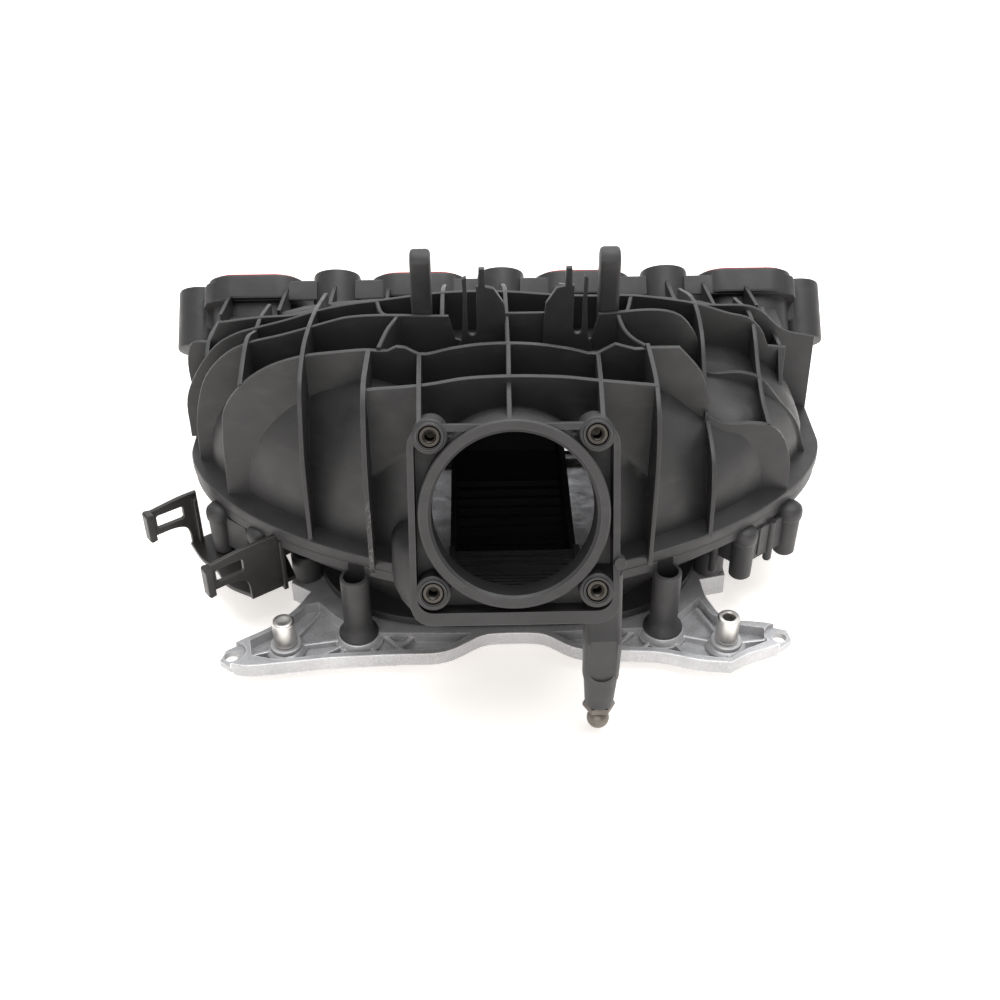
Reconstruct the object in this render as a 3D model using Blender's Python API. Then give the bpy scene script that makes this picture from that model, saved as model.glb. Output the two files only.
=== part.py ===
"""Plastic intake manifold with a die-cast carrier plate, as separate pieces in one frame.

X runs along the row of ports, +Y from the throttle flange to the head flange, +Z up.
The origin lies in the underside of the carrier plate. Sizes are in millimetres here and
become metres where a mesh is made.
"""
import math

import bmesh
import bpy
from mathutils import Matrix, Vector

MM = 0.001
GAP = 0.3            # clearance between pieces that touch
WELD = 2e-6          # metres: points closer than this are one

# Head flange: four ports in a row on a plane that faces up and back.
PORT_PITCH = 91.0
PORT_COUNT = 4
PORT_WIDTH = 44.0
PORT_HEIGHT = 34.0
PORT_WALL = 5.0
PORT_CENTRE_S = 27.0          # from the upper edge of the collars, down the flange
FLANGE_TILT = math.radians(42.0)
FLANGE_EDGE_Y = 103.0
FLANGE_EDGE_Z = 102.0
COLLAR_DEPTH = 15.0
COLLAR_RISE = 3.0
BOSS_RADIUS = 13.0
BOSS_LENGTH = 33.0
END_BOSS_X = 171.0
END_BOSS_S = 34.0
MID_BOSS_S = 10.0
SLEEVE_RADIUS = 6.5
SLEEVE_BORE = 4.3
SEAL_WIDTH = 2.4

# Throttle flange.
THROTTLE_TILT = math.radians(25.9)
THROTTLE_CENTRE = (0.0, -131.2, 112.3)
THROTTLE_BORE = 33.8
THROTTLE_RING = 39.0
THROTTLE_BOLTS_X = 67.2
THROTTLE_BOLTS_Y = 64.6
THROTTLE_BOSS = 7.2
INSERT_RADIUS = 4.4
INSERT_BORE = 2.6
INSERT_LENGTH = 14.0
HOUSING_HALF_WIDTH = 43.0
HOUSING_TOP = 37.0
HOUSING_BOTTOM = -46.5
HOUSING_WALL = 3.4
HOUSING_DEPTH = 20.0
HOUSING_SHOULDER = 26.0       # the housing's height behind its front frame
FRAME_DEPTH = 7.0
POCKET_DEPTH = 15.0
NECK_DEPTH = 62.0
CHAMBER_HALF_WIDTH = 40.0     # of the space behind the bore
CHAMBER_BOTTOM = -42.0

# Plenum: a ribbed dome welded to a lower shell along a flat rim.
RIM_TOP = 58.0
RIM_JOINT = 52.0
RIM_BOTTOM = 46.0
RIM_HALF_WIDTH = 159.0
RIM_DEPTH = 105.0
DOME_HALF_WIDTH = 150.0
DOME_DEPTH = 96.0
DOME_HEIGHT = 60.0
DOME_FALL = 0.2               # how far the roof drops for each millimetre towards the ports
DOME_POWER = 5.0
DOME_PLAN_POWER = 1.6
PLENUM_BACK = 62.0
WALL = 3.0
RIB = 3.0
LOWER_HALF_WIDTH = 96.0
LOWER_DEPTH = 88.0
LOWER_BOTTOM = 12.6

# Carrier plate.
PLATE_TOP = 12.0
PLATE_FLOOR = 6.0
SCREW_RADIUS = 2.9
SCREW_HEAD = 4.5
SCREW_HEAD_HEIGHT = 4.6
BASE_SCREW_TOP = 20.0

WORLD = Matrix.Identity(4)


def frame_from(origin, x_axis, y_axis):
    """A placement whose local X and Y follow the two given directions."""
    x_axis = Vector(x_axis).normalized()
    z_axis = x_axis.cross(Vector(y_axis)).normalized()
    y_axis = z_axis.cross(x_axis)
    placement = Matrix((x_axis, y_axis, z_axis)).transposed().to_4x4()
    placement.translation = Vector(origin)
    return placement


FLANGE = frame_from((0.0, FLANGE_EDGE_Y, FLANGE_EDGE_Z), (1.0, 0.0, 0.0),
                    (0.0, math.sin(FLANGE_TILT), -math.cos(FLANGE_TILT)))
THROTTLE = frame_from(THROTTLE_CENTRE, (1.0, 0.0, 0.0),
                      (0.0, math.sin(THROTTLE_TILT), math.cos(THROTTLE_TILT)))
ALONG_X = frame_from((0.0, 0.0, 0.0), (0.0, 1.0, 0.0), (0.0, 0.0, 1.0))
ALONG_Y = frame_from((0.0, 0.0, 0.0), (1.0, 0.0, 0.0), (0.0, 0.0, 1.0))

PORT_XS = [(i - (PORT_COUNT - 1) / 2) * PORT_PITCH for i in range(PORT_COUNT)]
BOSSES = [(-END_BOSS_X, END_BOSS_S), (-PORT_PITCH, MID_BOSS_S), (0.0, MID_BOSS_S),
          (PORT_PITCH, MID_BOSS_S), (END_BOSS_X, END_BOSS_S)]
THROTTLE_SCREWS = [(sx * THROTTLE_BOLTS_X / 2, sy * THROTTLE_BOLTS_Y / 2)
                   for sy in (1, -1) for sx in (-1, 1)]


# ---------------------------------------------------------------- materials

def plain_material(name, colour, roughness, metallic=0.0):
    material = bpy.data.materials.new(name)
    material.use_nodes = True
    shader = material.node_tree.nodes["Principled BSDF"]
    shader.inputs["Base Color"].default_value = (*colour, 1.0)
    shader.inputs["Roughness"].default_value = roughness
    shader.inputs["Metallic"].default_value = metallic
    return material


def make_materials():
    return {
        "black_plastic": plain_material("black_plastic", (0.028, 0.027, 0.028), 0.5),
        "duct_plastic": plain_material("duct_plastic", (0.012, 0.012, 0.013), 0.55),
        "bracket_plastic": plain_material("bracket_plastic", (0.018, 0.017, 0.017), 0.42),
        "cast_aluminium": plain_material("cast_aluminium", (0.55, 0.55, 0.56), 0.42, 0.9),
        "red_seal": plain_material("red_seal", (0.42, 0.02, 0.02), 0.5),
        "green_seal": plain_material("green_seal", (0.02, 0.09, 0.05), 0.5),
        "zinc_steel": plain_material("zinc_steel", (0.5, 0.49, 0.47), 0.35, 1.0),
        "brass": plain_material("brass", (0.35, 0.27, 0.13), 0.38, 1.0),
        "dark_steel": plain_material("dark_steel", (0.12, 0.11, 0.1), 0.35, 1.0),
    }


# ---------------------------------------------------------------- solids

def is_bent(face):
    """True where a face's corners don't lie in one plane."""
    normal = face.normal
    origin = face.verts[0].co
    return any(abs(normal.dot(v.co - origin)) > WELD / 10 for v in face.verts)


def add_object(name, points, faces, placement=WORLD):
    """A closed mesh object, faces outward, from millimetre points in the given placement."""
    mesh = bpy.data.meshes.new(name)
    mesh.from_pydata([placement @ Vector(p) * MM for p in points], [], faces)
    surface = bmesh.new()
    surface.from_mesh(mesh)
    surface.normal_update()
    bent = [face for face in surface.faces if is_bent(face)]
    bmesh.ops.triangulate(surface, faces=bent)
    bmesh.ops.recalc_face_normals(surface, faces=surface.faces)
    surface.to_mesh(mesh)
    surface.free()
    obj = bpy.data.objects.new(name, mesh)
    bpy.context.scene.collection.objects.link(obj)
    return obj


def prism(outline, low, high, placement=WORLD):
    """A flat outline drawn in the placement's XY plane and extruded along its Z."""
    count = len(outline)
    points = [(x, y, low) for x, y in outline] + [(x, y, high) for x, y in outline]
    faces = [tuple(reversed(range(count))), tuple(range(count, 2 * count))]
    faces += [(i, (i + 1) % count, (i + 1) % count + count, i + count) for i in range(count)]
    return add_object("solid", points, faces, placement)


def circle(radius, centre=(0.0, 0.0), sides=12):
    return [(centre[0] + radius * math.cos(2 * math.pi * i / sides),
             centre[1] + radius * math.sin(2 * math.pi * i / sides)) for i in range(sides)]


def rounded_box(width, height, radius, centre=(0.0, 0.0), steps=3):
    """A rectangle with round corners."""
    points = []
    for corner, (sx, sy) in enumerate(((1, 1), (-1, 1), (-1, -1), (1, -1))):
        for step in range(steps + 1):
            angle = math.radians(90 * corner + 90 * step / steps)
            points.append((centre[0] + sx * (width / 2 - radius) + radius * math.cos(angle),
                           centre[1] + sy * (height / 2 - radius) + radius * math.sin(angle)))
    return points


def rod(radius, low, high, centre=(0.0, 0.0), placement=WORLD, sides=12):
    return prism(circle(radius, centre, sides), low, high, placement)


def turned(profile, placement=WORLD, sides=12):
    """A solid of revolution about the placement's Z from (radius, height) pairs, low to high."""
    points = []
    rings = []
    for radius, height in profile:
        if radius == 0:
            rings.append([len(points)] * sides)
            points.append((0.0, 0.0, height))
        else:
            rings.append([len(points) + i for i in range(sides)])
            points += [(x, y, height) for x, y in circle(radius, sides=sides)]
    faces = []
    for lower, upper in zip(rings, rings[1:]):
        for i in range(sides):
            j = (i + 1) % sides
            corners = [lower[i], lower[j], upper[j], upper[i]]
            faces.append(tuple(dict.fromkeys(corners)))
    if profile[0][0] > 0:
        faces.append(tuple(reversed(rings[0])))
    if profile[-1][0] > 0:
        faces.append(tuple(rings[-1]))
    return add_object("solid", points, faces, placement)


def rib_across(crest, foot, y, thickness=RIB):
    """A rib in a plane of constant y: (x, z) crest points closed along a foot line."""
    outline = list(crest) + [(crest[-1][0], foot), (crest[0][0], foot)]
    return prism(outline, -y - thickness / 2, -y + thickness / 2, ALONG_Y)


def rib_along(crest, foot, x, thickness=RIB):
    """A rib in a plane of constant x: (y, z) crest points closed along a foot line."""
    outline = list(crest) + [(crest[-1][0], foot), (crest[0][0], foot)]
    return prism(outline, x - thickness / 2, x + thickness / 2, ALONG_X)


def boolean(base, operands, operation):
    """Join the operands to the base, or cut them out of it, and delete them."""
    if not operands:
        return
    group = bpy.data.collections.new("operands")
    bpy.context.scene.collection.children.link(group)
    for operand in operands:
        group.objects.link(operand)
    modifier = base.modifiers.new("boolean", "BOOLEAN")
    modifier.operation = operation
    modifier.operand_type = "COLLECTION"
    modifier.collection = group
    modifier.solver = "EXACT"
    graph = bpy.context.evaluated_depsgraph_get()
    result = bpy.data.meshes.new_from_object(base.evaluated_get(graph))
    base.modifiers.clear()
    surface = bmesh.new()
    surface.from_mesh(result)
    bmesh.ops.remove_doubles(surface, verts=surface.verts, dist=WELD)
    bmesh.ops.dissolve_degenerate(surface, edges=surface.edges, dist=WELD)
    bmesh.ops.dissolve_limit(surface, angle_limit=math.radians(0.2), verts=surface.verts,
                             edges=surface.edges)
    surface.to_mesh(result)
    surface.free()
    base.data = result
    for operand in operands:
        bpy.data.objects.remove(operand)
    bpy.data.collections.remove(group)


def finish_piece(name, base, material, adds=(), cuts=(), smooth_angle=35.0):
    """Turn a base solid, what joins it and what is cut from it into one named piece."""
    boolean(base, list(adds), "UNION")
    boolean(base, list(cuts), "DIFFERENCE")
    base.name = name
    base.data.name = name
    base.data.materials.clear()
    base.data.materials.append(material)
    base.data.shade_smooth()
    base.data.set_sharp_from_angle(angle=math.radians(smooth_angle))
    return base


# ---------------------------------------------------------------- plenum forms

def ease(t):
    """A smooth step from 0 to 1."""
    t = min(max(t, 0.0), 1.0)
    return t * t * (3 - 2 * t)


def roof_rise(x, y):
    """How far the roof's middle stands over the rim, with its fuller and flatter shoulders."""
    rise = DOME_HEIGHT - DOME_FALL * max(y, 0.0)
    beside_throttle = math.exp(-((abs(x) - 50) / 25) ** 2) * ease((-y - 35) / 35)
    left_front = ease((-x - 45) / 20) * ease((-y - 15) / 25)
    right_corner = ease((x - 98) / 18) * ease((-y - 20) / 20)
    right_side = ease((x - 70) / 25) * (1 - right_corner) * (1 - 0.45 * ease((y + 5) / 20))
    return rise + 16 * beside_throttle + 8 * left_front - 11 * right_side


def half_oval(half_width, depth, power, steps):
    """The front of a plan outline, from right to left round the throttle side."""
    points = []
    for step in range(steps + 1):
        angle = math.pi * step / steps
        x = half_width * abs(math.cos(angle)) ** (2 / power) * (1 if angle < math.pi / 2 else -1)
        y = -depth * abs(math.sin(angle)) ** (2 / power)
        points.append((x, y))
    return points


def plan_outline(half_width, depth, back, power=1.7, steps=14):
    """A D-shaped plan: straight sides behind y = 0 and an oval front."""
    return [(half_width, back)] + half_oval(half_width, depth, power, steps) + [(-half_width, back)]


def dome(inset, back, skirt, steps=14):
    """The domed body, closed, set in by the wall thickness given."""
    half_width = DOME_HALF_WIDTH - inset
    outline = half_oval(half_width, DOME_DEPTH - inset, DOME_PLAN_POWER, steps)
    stations = [((0.0, back * k / 3), (half_width, back * k / 3)) for k in (3, 2, 1)]
    stations += [((0.0, 0.0), point) for point in outline]
    stations += [((0.0, back * k / 3), (-half_width, back * k / 3)) for k in (1, 2, 3)]
    reaches = (0.0, 0.45, 0.7, 0.83, 0.92, 0.97, 1.0)
    index = {}
    points = []

    def vertex(x, y, z):
        key = (round(x, 4), round(y, 4), round(z, 4))
        if key not in index:
            index[key] = len(points)
            points.append(key)
        return index[key]

    grid = []
    for (sx, sy), (ex, ey) in stations:
        row = []
        for reach in reaches:
            x = sx + (ex - sx) * reach
            y = sy + (ey - sy) * reach
            fullness = math.sqrt(max(0.0, 1 - reach ** DOME_POWER))
            row.append(vertex(x, y, RIM_TOP + (roof_rise(x, y) - inset) * fullness))
        row.append(vertex(ex, ey, skirt))
        grid.append(row)
    faces = []
    for row, following in zip(grid, grid[1:]):
        for k in range(len(row) - 1):
            corners = dict.fromkeys((row[k], row[k + 1], following[k + 1], following[k]))
            if len(corners) > 2:
                faces.append(tuple(corners))
    faces.append(tuple(row[-1] for row in reversed(grid)))
    faces.append(tuple(reversed(grid[0])) + tuple(grid[-1][1:]))
    return add_object("dome", points, faces)


def shell_loft(levels, back, steps=14, power=1.9):
    """A solid between D-shaped sections given as (z, half width, depth), low to high."""
    points = []
    faces = []
    count = 0
    for z, half_width, depth in levels:
        ring = plan_outline(half_width, depth, back, power, steps)
        count = len(ring)
        points += [(x, y, z) for x, y in ring]
    for level in range(len(levels) - 1):
        low = level * count
        high = low + count
        for i in range(count):
            j = (i + 1) % count
            faces.append((low + j, low + i, high + i, high + j))
    faces.append(tuple(range(count)))
    faces.append(tuple(reversed(range(count * (len(levels) - 1), count * len(levels)))))
    return add_object("loft", points, faces)


# ---------------------------------------------------------------- upper shell

RIB_A = [(-135, 58), (-133, 94), (-131, 106), (-122, 119), (-110, 128), (-93, 134), (-64, 137),
         (-50, 138), (-40, 134), (-26, 137), (0, 139), (28, 136), (40, 134), (50, 138), (64, 137),
         (77, 136), (85, 127), (93, 106)]
RIB_A_FAR = [(93, 103), (102, 96), (112, 96), (125, 93), (132, 82), (135, 58)]
RIB_B_LEFT = [(-153, 60), (-152, 78), (-149, 93), (-144, 106), (-132, 119), (-122, 124), (-106, 128),
              (-74, 137), (-27, 137), (-23, 124), (-19, 123)]
RIB_B_MIDDLE = [(-3, 138), (19, 138)]
RIB_B_RIGHT = [(37, 122), (39, 123), (43, 137), (72, 138), (82, 135), (90, 125), (94, 108), (98, 105),
               (112, 105), (122, 102), (142, 78), (151, 60)]
RIB_C = [(-162, 60), (-161, 78), (-155, 92), (-142, 109), (-122, 118), (-91, 127), (-62, 132),
         (-29, 136), (29, 135), (61, 133), (93, 128), (122, 117), (138, 106), (141, 60)]
RIB_D = [(-160, 60), (-158, 102), (-143, 104), (-115, 114), (-87, 118), (87, 118), (115, 114),
         (143, 104), (158, 102), (160, 60)]
RIB_BAR = [(-61, 138), (-36, 140), (-18, 143), (21, 143), (37, 141), (62, 138)]
BAR_Y = -75.0

RIBS_ALONG = {
    -149: [(61, 104), (24, 102), (12, 92)],
    -122: [(61, 108), (15, 117), (-10, 126), (-40, 121)],
    -92: [(61, 112), (15, 127), (-10, 133), (-40, 136), (-60, 130), (-68, 116), (-74, 101), (-76, 58)],
    -62: [(-40, 137), (-75, 139), (-84, 134), (-90, 126), (-95, 113), (-97, 98), (-96, 58)],
    -38: [(-40, 134), (-75, 140), (-112, 143)],
    -30: [(61, 118), (15, 135), (-10, 136)],
    0: [(61, 118), (15, 136), (-10, 137), (-40, 138), (-75, 142), (-112, 143)],
    30: [(61, 118), (15, 135), (-10, 122)],
    38: [(-40, 134), (-75, 140), (-112, 143)],
    62: [(-40, 138), (-75, 138), (-87, 129), (-95, 113), (-97, 90), (-96, 58)],
    92: [(61, 112), (15, 128), (-10, 125), (-25, 113), (-42, 99), (-60, 97), (-69, 91), (-76, 75),
         (-77, 58)],
    122: [(61, 108), (15, 117), (-10, 103), (-42, 95)],
    138: [(61, 102), (15, 106), (-6, 60)],
}
# Two ribs that wind in plan between ribs C, B and A, each step with its own height.
WINDING_RIBS = [([(-62, 16), (-58, 5), (-51, -10)], 131), ([(-51, -10), (-54, -25), (-58, -41)], 137),
                ([(61, 16), (57, 5), (52, -10)], 131), ([(52, -10), (56, -25), (62, -41)], 137)]


CLIP_MIRROR_X = 17.0          # the right clip is the left one seen in a mirror at half this X
CLIP_FRONT = 12.0


def throttle_box(half_width, top, bottom, low, high):
    outline = rounded_box(2 * half_width, top - bottom, 9.0, (0.0, (top + bottom) / 2), 2)
    return prism(outline, low, high, THROTTLE)


def winding_rib(path, top):
    """A rib that follows a path in plan, up to one height."""
    half = RIB / 2
    outline = [(x - half, y) for x, y in path] + [(x + half, y) for x, y in reversed(path)]
    return prism(outline, 57, top)


def cover_lug(x):
    """An upright plate with a round top that locates the engine cover."""
    outline = [(-8, 100), (4, 100), (4, 165)]
    outline += [(-2 + 6 * math.cos(math.radians(a)), 165 + 6 * math.sin(math.radians(a)))
                for a in (30, 60, 90, 120, 150)]
    outline.append((-8, 165))
    return prism(outline, x - 4.5, x + 4.5, ALONG_X)


def cable_clip(mirrored):
    """A slotted upright plate with a thin retaining finger beside it."""
    plate = [(-14, 100), (-14, 154), (-6, 153), (0, 145), (0, 100)]
    finger = [(-20, 100), (-20, 158), (-17.5, 158), (-17.5, 100)]
    prong = [(-13, 150), (-13, 163), (-9.5, 163), (-9.5, 150)]
    pieces = []
    for outline in (plate, finger, prong):
        if mirrored:
            outline = [(CLIP_MIRROR_X - x, z) for x, z in outline]
        pieces.append(prism(outline, CLIP_FRONT, CLIP_FRONT + 5, ALONG_Y))
    return pieces


def make_upper_shell(material):
    base = prism(plan_outline(RIM_HALF_WIDTH, RIM_DEPTH, PLENUM_BACK), RIM_JOINT + GAP / 2, RIM_TOP)
    adds = [dome(0.0, PLENUM_BACK - 0.1, RIM_JOINT + 1)]
    adds += [rib_across(RIB_A, 55, -40), rib_across(RIB_A_FAR, 55, -42)]
    adds += [rib_across(crest, 55, -10) for crest in (RIB_B_LEFT, RIB_B_MIDDLE, RIB_B_RIGHT)]
    adds += [rib_across(RIB_C, 55, 15), rib_across(RIB_D, 55, 32), rib_across(RIB_BAR, 60, BAR_Y)]
    adds += [rib_along(crest, 56, x) for x, crest in RIBS_ALONG.items()]
    adds += [winding_rib(path, top) for path, top in WINDING_RIBS]
    adds += [cover_lug(-40), cover_lug(48)]
    adds += cable_clip(False) + cable_clip(True)
    adds.append(throttle_box(HOUSING_HALF_WIDTH, HOUSING_TOP, HOUSING_BOTTOM, -FRAME_DEPTH, -2))
    adds.append(throttle_box(HOUSING_HALF_WIDTH, HOUSING_SHOULDER, HOUSING_BOTTOM, -HOUSING_DEPTH,
                             -FRAME_DEPTH + 1))
    adds.append(throttle_box(HOUSING_HALF_WIDTH, HOUSING_SHOULDER, HOUSING_BOTTOM, -NECK_DEPTH,
                             -HOUSING_DEPTH + 1))
    boolean(base, adds, "UNION")
    boolean(base, [throttle_box(HOUSING_HALF_WIDTH - HOUSING_WALL, HOUSING_TOP - HOUSING_WALL,
                                HOUSING_BOTTOM + 6, -POCKET_DEPTH, 5)], "DIFFERENCE")
    rings = [rod(THROTTLE_RING, -NECK_DEPTH, 0, placement=THROTTLE, sides=32)]
    rings += [rod(THROTTLE_BOSS, -POCKET_DEPTH - 4, -0.5, centre, THROTTLE)
              for centre in THROTTLE_SCREWS]
    rings.append(stud_holder())
    boolean(base, rings, "UNION")
    # The holder and the housing stay clear of the lower shell and of the space inside.
    cuts = [dome(WALL, PLENUM_BACK + 6, RIM_BOTTOM - 20)]
    cuts.append(rod(THROTTLE_BORE, -NECK_DEPTH - 22, 5, placement=THROTTLE, sides=32))
    cuts.append(throttle_box(CHAMBER_HALF_WIDTH, HOUSING_SHOULDER - WALL, CHAMBER_BOTTOM,
                             -NECK_DEPTH - 22, -POCKET_DEPTH - WALL))
    cuts += [rod(INSERT_RADIUS + GAP, -INSERT_LENGTH - 1.5, 3, centre, THROTTLE, 16)
             for centre in THROTTLE_SCREWS]
    cuts.append(rod(STUD_HOLE, STUD_HOLDER_BOTTOM - 4, STUD_TOP + 1, (STUD_X, STUD_Y), sides=12))
    cuts.append(prism([(-200, -106), (200, -106), (200, 90), (-200, 90)], 0, RIM_JOINT + GAP / 2))
    return finish_piece("upper_shell", base, material, (), cuts)


# ---------------------------------------------------------------- ball stud

STUD_X = 37.0
STUD_Y = -143.0
STUD_BALL_Z = 7.5
BALL_RADIUS = 5.0
STUD_TOP = 33.0
STUD_SHANK = 3.0
STUD_HOLE = STUD_SHANK + GAP
STUD_HOLDER_BOTTOM = 18.0
STUD_HOLDER_TOP = 82.0


def stud_holder():
    """The post below the right corner of the throttle housing."""
    outline = rounded_box(16, 15, 5, (STUD_X, STUD_Y + 1.5), 3)
    return prism(outline, STUD_HOLDER_BOTTOM, STUD_HOLDER_TOP)


def make_ball_stud(material):
    place = frame_from((STUD_X, STUD_Y, 0), (1, 0, 0), (0, 1, 0))
    profile = [(0, STUD_BALL_Z - BALL_RADIUS)]
    for degrees in range(-72, 55, 18):
        angle = math.radians(degrees)
        profile.append((BALL_RADIUS * math.cos(angle), STUD_BALL_Z + BALL_RADIUS * math.sin(angle)))
    profile += [(2.8, STUD_BALL_Z + BALL_RADIUS), (STUD_SHANK, 15), (STUD_SHANK, STUD_TOP),
                (0, STUD_TOP)]
    ball = turned(profile, place)
    return finish_piece("ball_stud", ball, material)


def make_stud_collar(material):
    """The hexagon collar between the post and the ball, open round the stud."""
    collar = rod(7.2, 14.4, 17.7, (STUD_X, STUD_Y), sides=6)
    return finish_piece("stud_hex_collar", collar, material, (),
                        [rod(STUD_HOLE, 10, 20, (STUD_X, STUD_Y))])


# ---------------------------------------------------------------- lower shell

TOP_SCREWS = [(-72, -90), (72, -90)]
BASE_SCREWS = [(-100, -47), (100, -47), (-108, 40), (108, 40)]
PEGS = [(-141, -39), (-119, -57), (112, -64), (137, -46)]


def lower_body(inset, bottom, top):
    levels = [(bottom, LOWER_HALF_WIDTH - inset, LOWER_DEPTH - inset)]
    levels.append((20, LOWER_HALF_WIDTH + 6 - inset, LOWER_DEPTH + 1 - inset))
    levels.append((36, DOME_HALF_WIDTH - 14 - inset, DOME_DEPTH - 3 - inset))
    levels.append((top, DOME_HALF_WIDTH - inset, DOME_DEPTH - inset))
    back = PLENUM_BACK - 0.1 if inset == 0 else PLENUM_BACK + 6
    return shell_loft(levels, back)


def make_lower_shell(material):
    top = RIM_JOINT - GAP / 2
    base = prism(plan_outline(RIM_HALF_WIDTH, RIM_DEPTH, PLENUM_BACK), RIM_BOTTOM, top)
    adds = [lower_body(0, LOWER_BOTTOM, top - 2)]
    adds.append(prism(plan_outline(LOWER_HALF_WIDTH + 1, LOWER_DEPTH + 1, PLENUM_BACK - 0.2, 3.2),
                      LOWER_BOTTOM, 17))
    adds += [rod(6.6, LOWER_BOTTOM, 50, centre) for centre in TOP_SCREWS]
    adds += [rod(7.5, LOWER_BOTTOM, 27, centre) for centre in BASE_SCREWS]
    for x, y in PEGS:
        adds.append(rod(5.8, 24, 51, (x, y)))
    for (x0, y0), (x1, y1) in ((PEGS[0], PEGS[1]), (PEGS[2], PEGS[3])):
        direction = Vector((x1 - x0, y1 - y0, 0)).normalized()
        web = frame_from((x0, y0, 0), direction, (0, 0, 1))
        span = math.hypot(x1 - x0, y1 - y0)
        adds.append(prism([(0, 28), (span, 28), (span, 47), (0, 47)], -1.5, 1.5, web))
        inward = frame_from(((x0 + x1) / 2, (y0 + y1) / 2, 0), (-(x0 + x1), -(y0 + y1), 0), (0, 0, 1))
        adds.append(prism([(0, 30), (30, 30), (30, 47), (0, 47)], -8, 8, inward))
    cuts = [lower_body(WALL, LOWER_BOTTOM - 5, top + 4)]
    cuts += [rod(SCREW_RADIUS + GAP, 0, 70, centre) for centre in TOP_SCREWS]
    cuts += [rod(SCREW_HEAD + 0.6, 19, 70, centre) for centre in TOP_SCREWS]
    cuts += [rod(SCREW_RADIUS + GAP, 0, BASE_SCREW_TOP + 0.5, centre) for centre in BASE_SCREWS]
    return finish_piece("lower_shell", base, material, adds, cuts)


# ---------------------------------------------------------------- runner shell

RUNNER_MOUTH_Z = 39.0
ELBOW_Y = 74.0


def runner_solid(x, width, height, overrun):
    """A curved tube from the plenum's back to a port, closed at both ends."""
    level = RUNNER_MOUTH_Z
    start = Vector((0.0, PLENUM_BACK + GAP + 0.5 - overrun, level))
    normal = FLANGE.to_3x3() @ Vector((0, 0, 1))
    end = FLANGE @ Vector((0.0, PORT_CENTRE_S, 0.0))
    bend_start = Vector((0.0, PLENUM_BACK + 2, level))
    elbow = Vector((0.0, ELBOW_Y, level))
    bend_end = end - normal * 12
    path = [start]
    for step in range(1, 4):
        t = step / 4
        path.append((1 - t) ** 2 * bend_start + 2 * t * (1 - t) * elbow + t * t * bend_end)
    path.append(end + normal * overrun)
    points = []
    section = rounded_box(width, height, min(width, height) * 0.42, steps=2)
    count = len(section)
    for k, centre in enumerate(path):
        before = path[max(k - 1, 0)]
        after = path[min(k + 1, len(path) - 1)]
        tangent = (after - before).normalized()
        if k == 0:
            tangent = Vector((0, 1, 0))
        if k == len(path) - 1:
            tangent = normal
        up = Vector((1, 0, 0)).cross(tangent)
        points += [Vector((x + u, 0, 0)) + centre + up * v for u, v in section]
    faces = []
    for k in range(len(path) - 1):
        for i in range(count):
            j = (i + 1) % count
            faces.append((k * count + j, k * count + i, (k + 1) * count + i, (k + 1) * count + j))
    faces.append(tuple(range(count)))
    faces.append(tuple(reversed(range((len(path) - 1) * count, len(path) * count))))
    return add_object("runner", points, faces)


def end_wall_outline():
    """The back wall's outline, just below the dome's roof and above the lower shell's floor."""
    roof = []
    half_width = DOME_HALF_WIDTH
    height = DOME_HEIGHT - DOME_FALL * PLENUM_BACK
    for reach in (1.0, 0.97, 0.92, 0.83, 0.7, 0.45):
        fullness = math.sqrt(max(0, 1 - reach ** DOME_POWER))
        roof.append((half_width * reach, RIM_TOP + height * fullness))
    outline = roof + [(-x, z) for x, z in reversed(roof)]
    outline += [(-RIM_HALF_WIDTH, RIM_TOP), (-RIM_HALF_WIDTH, RIM_BOTTOM), (-136, 36), (-102, 18),
                (102, 18), (136, 36), (RIM_HALF_WIDTH, RIM_BOTTOM), (RIM_HALF_WIDTH, RIM_TOP)]
    return outline


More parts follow.
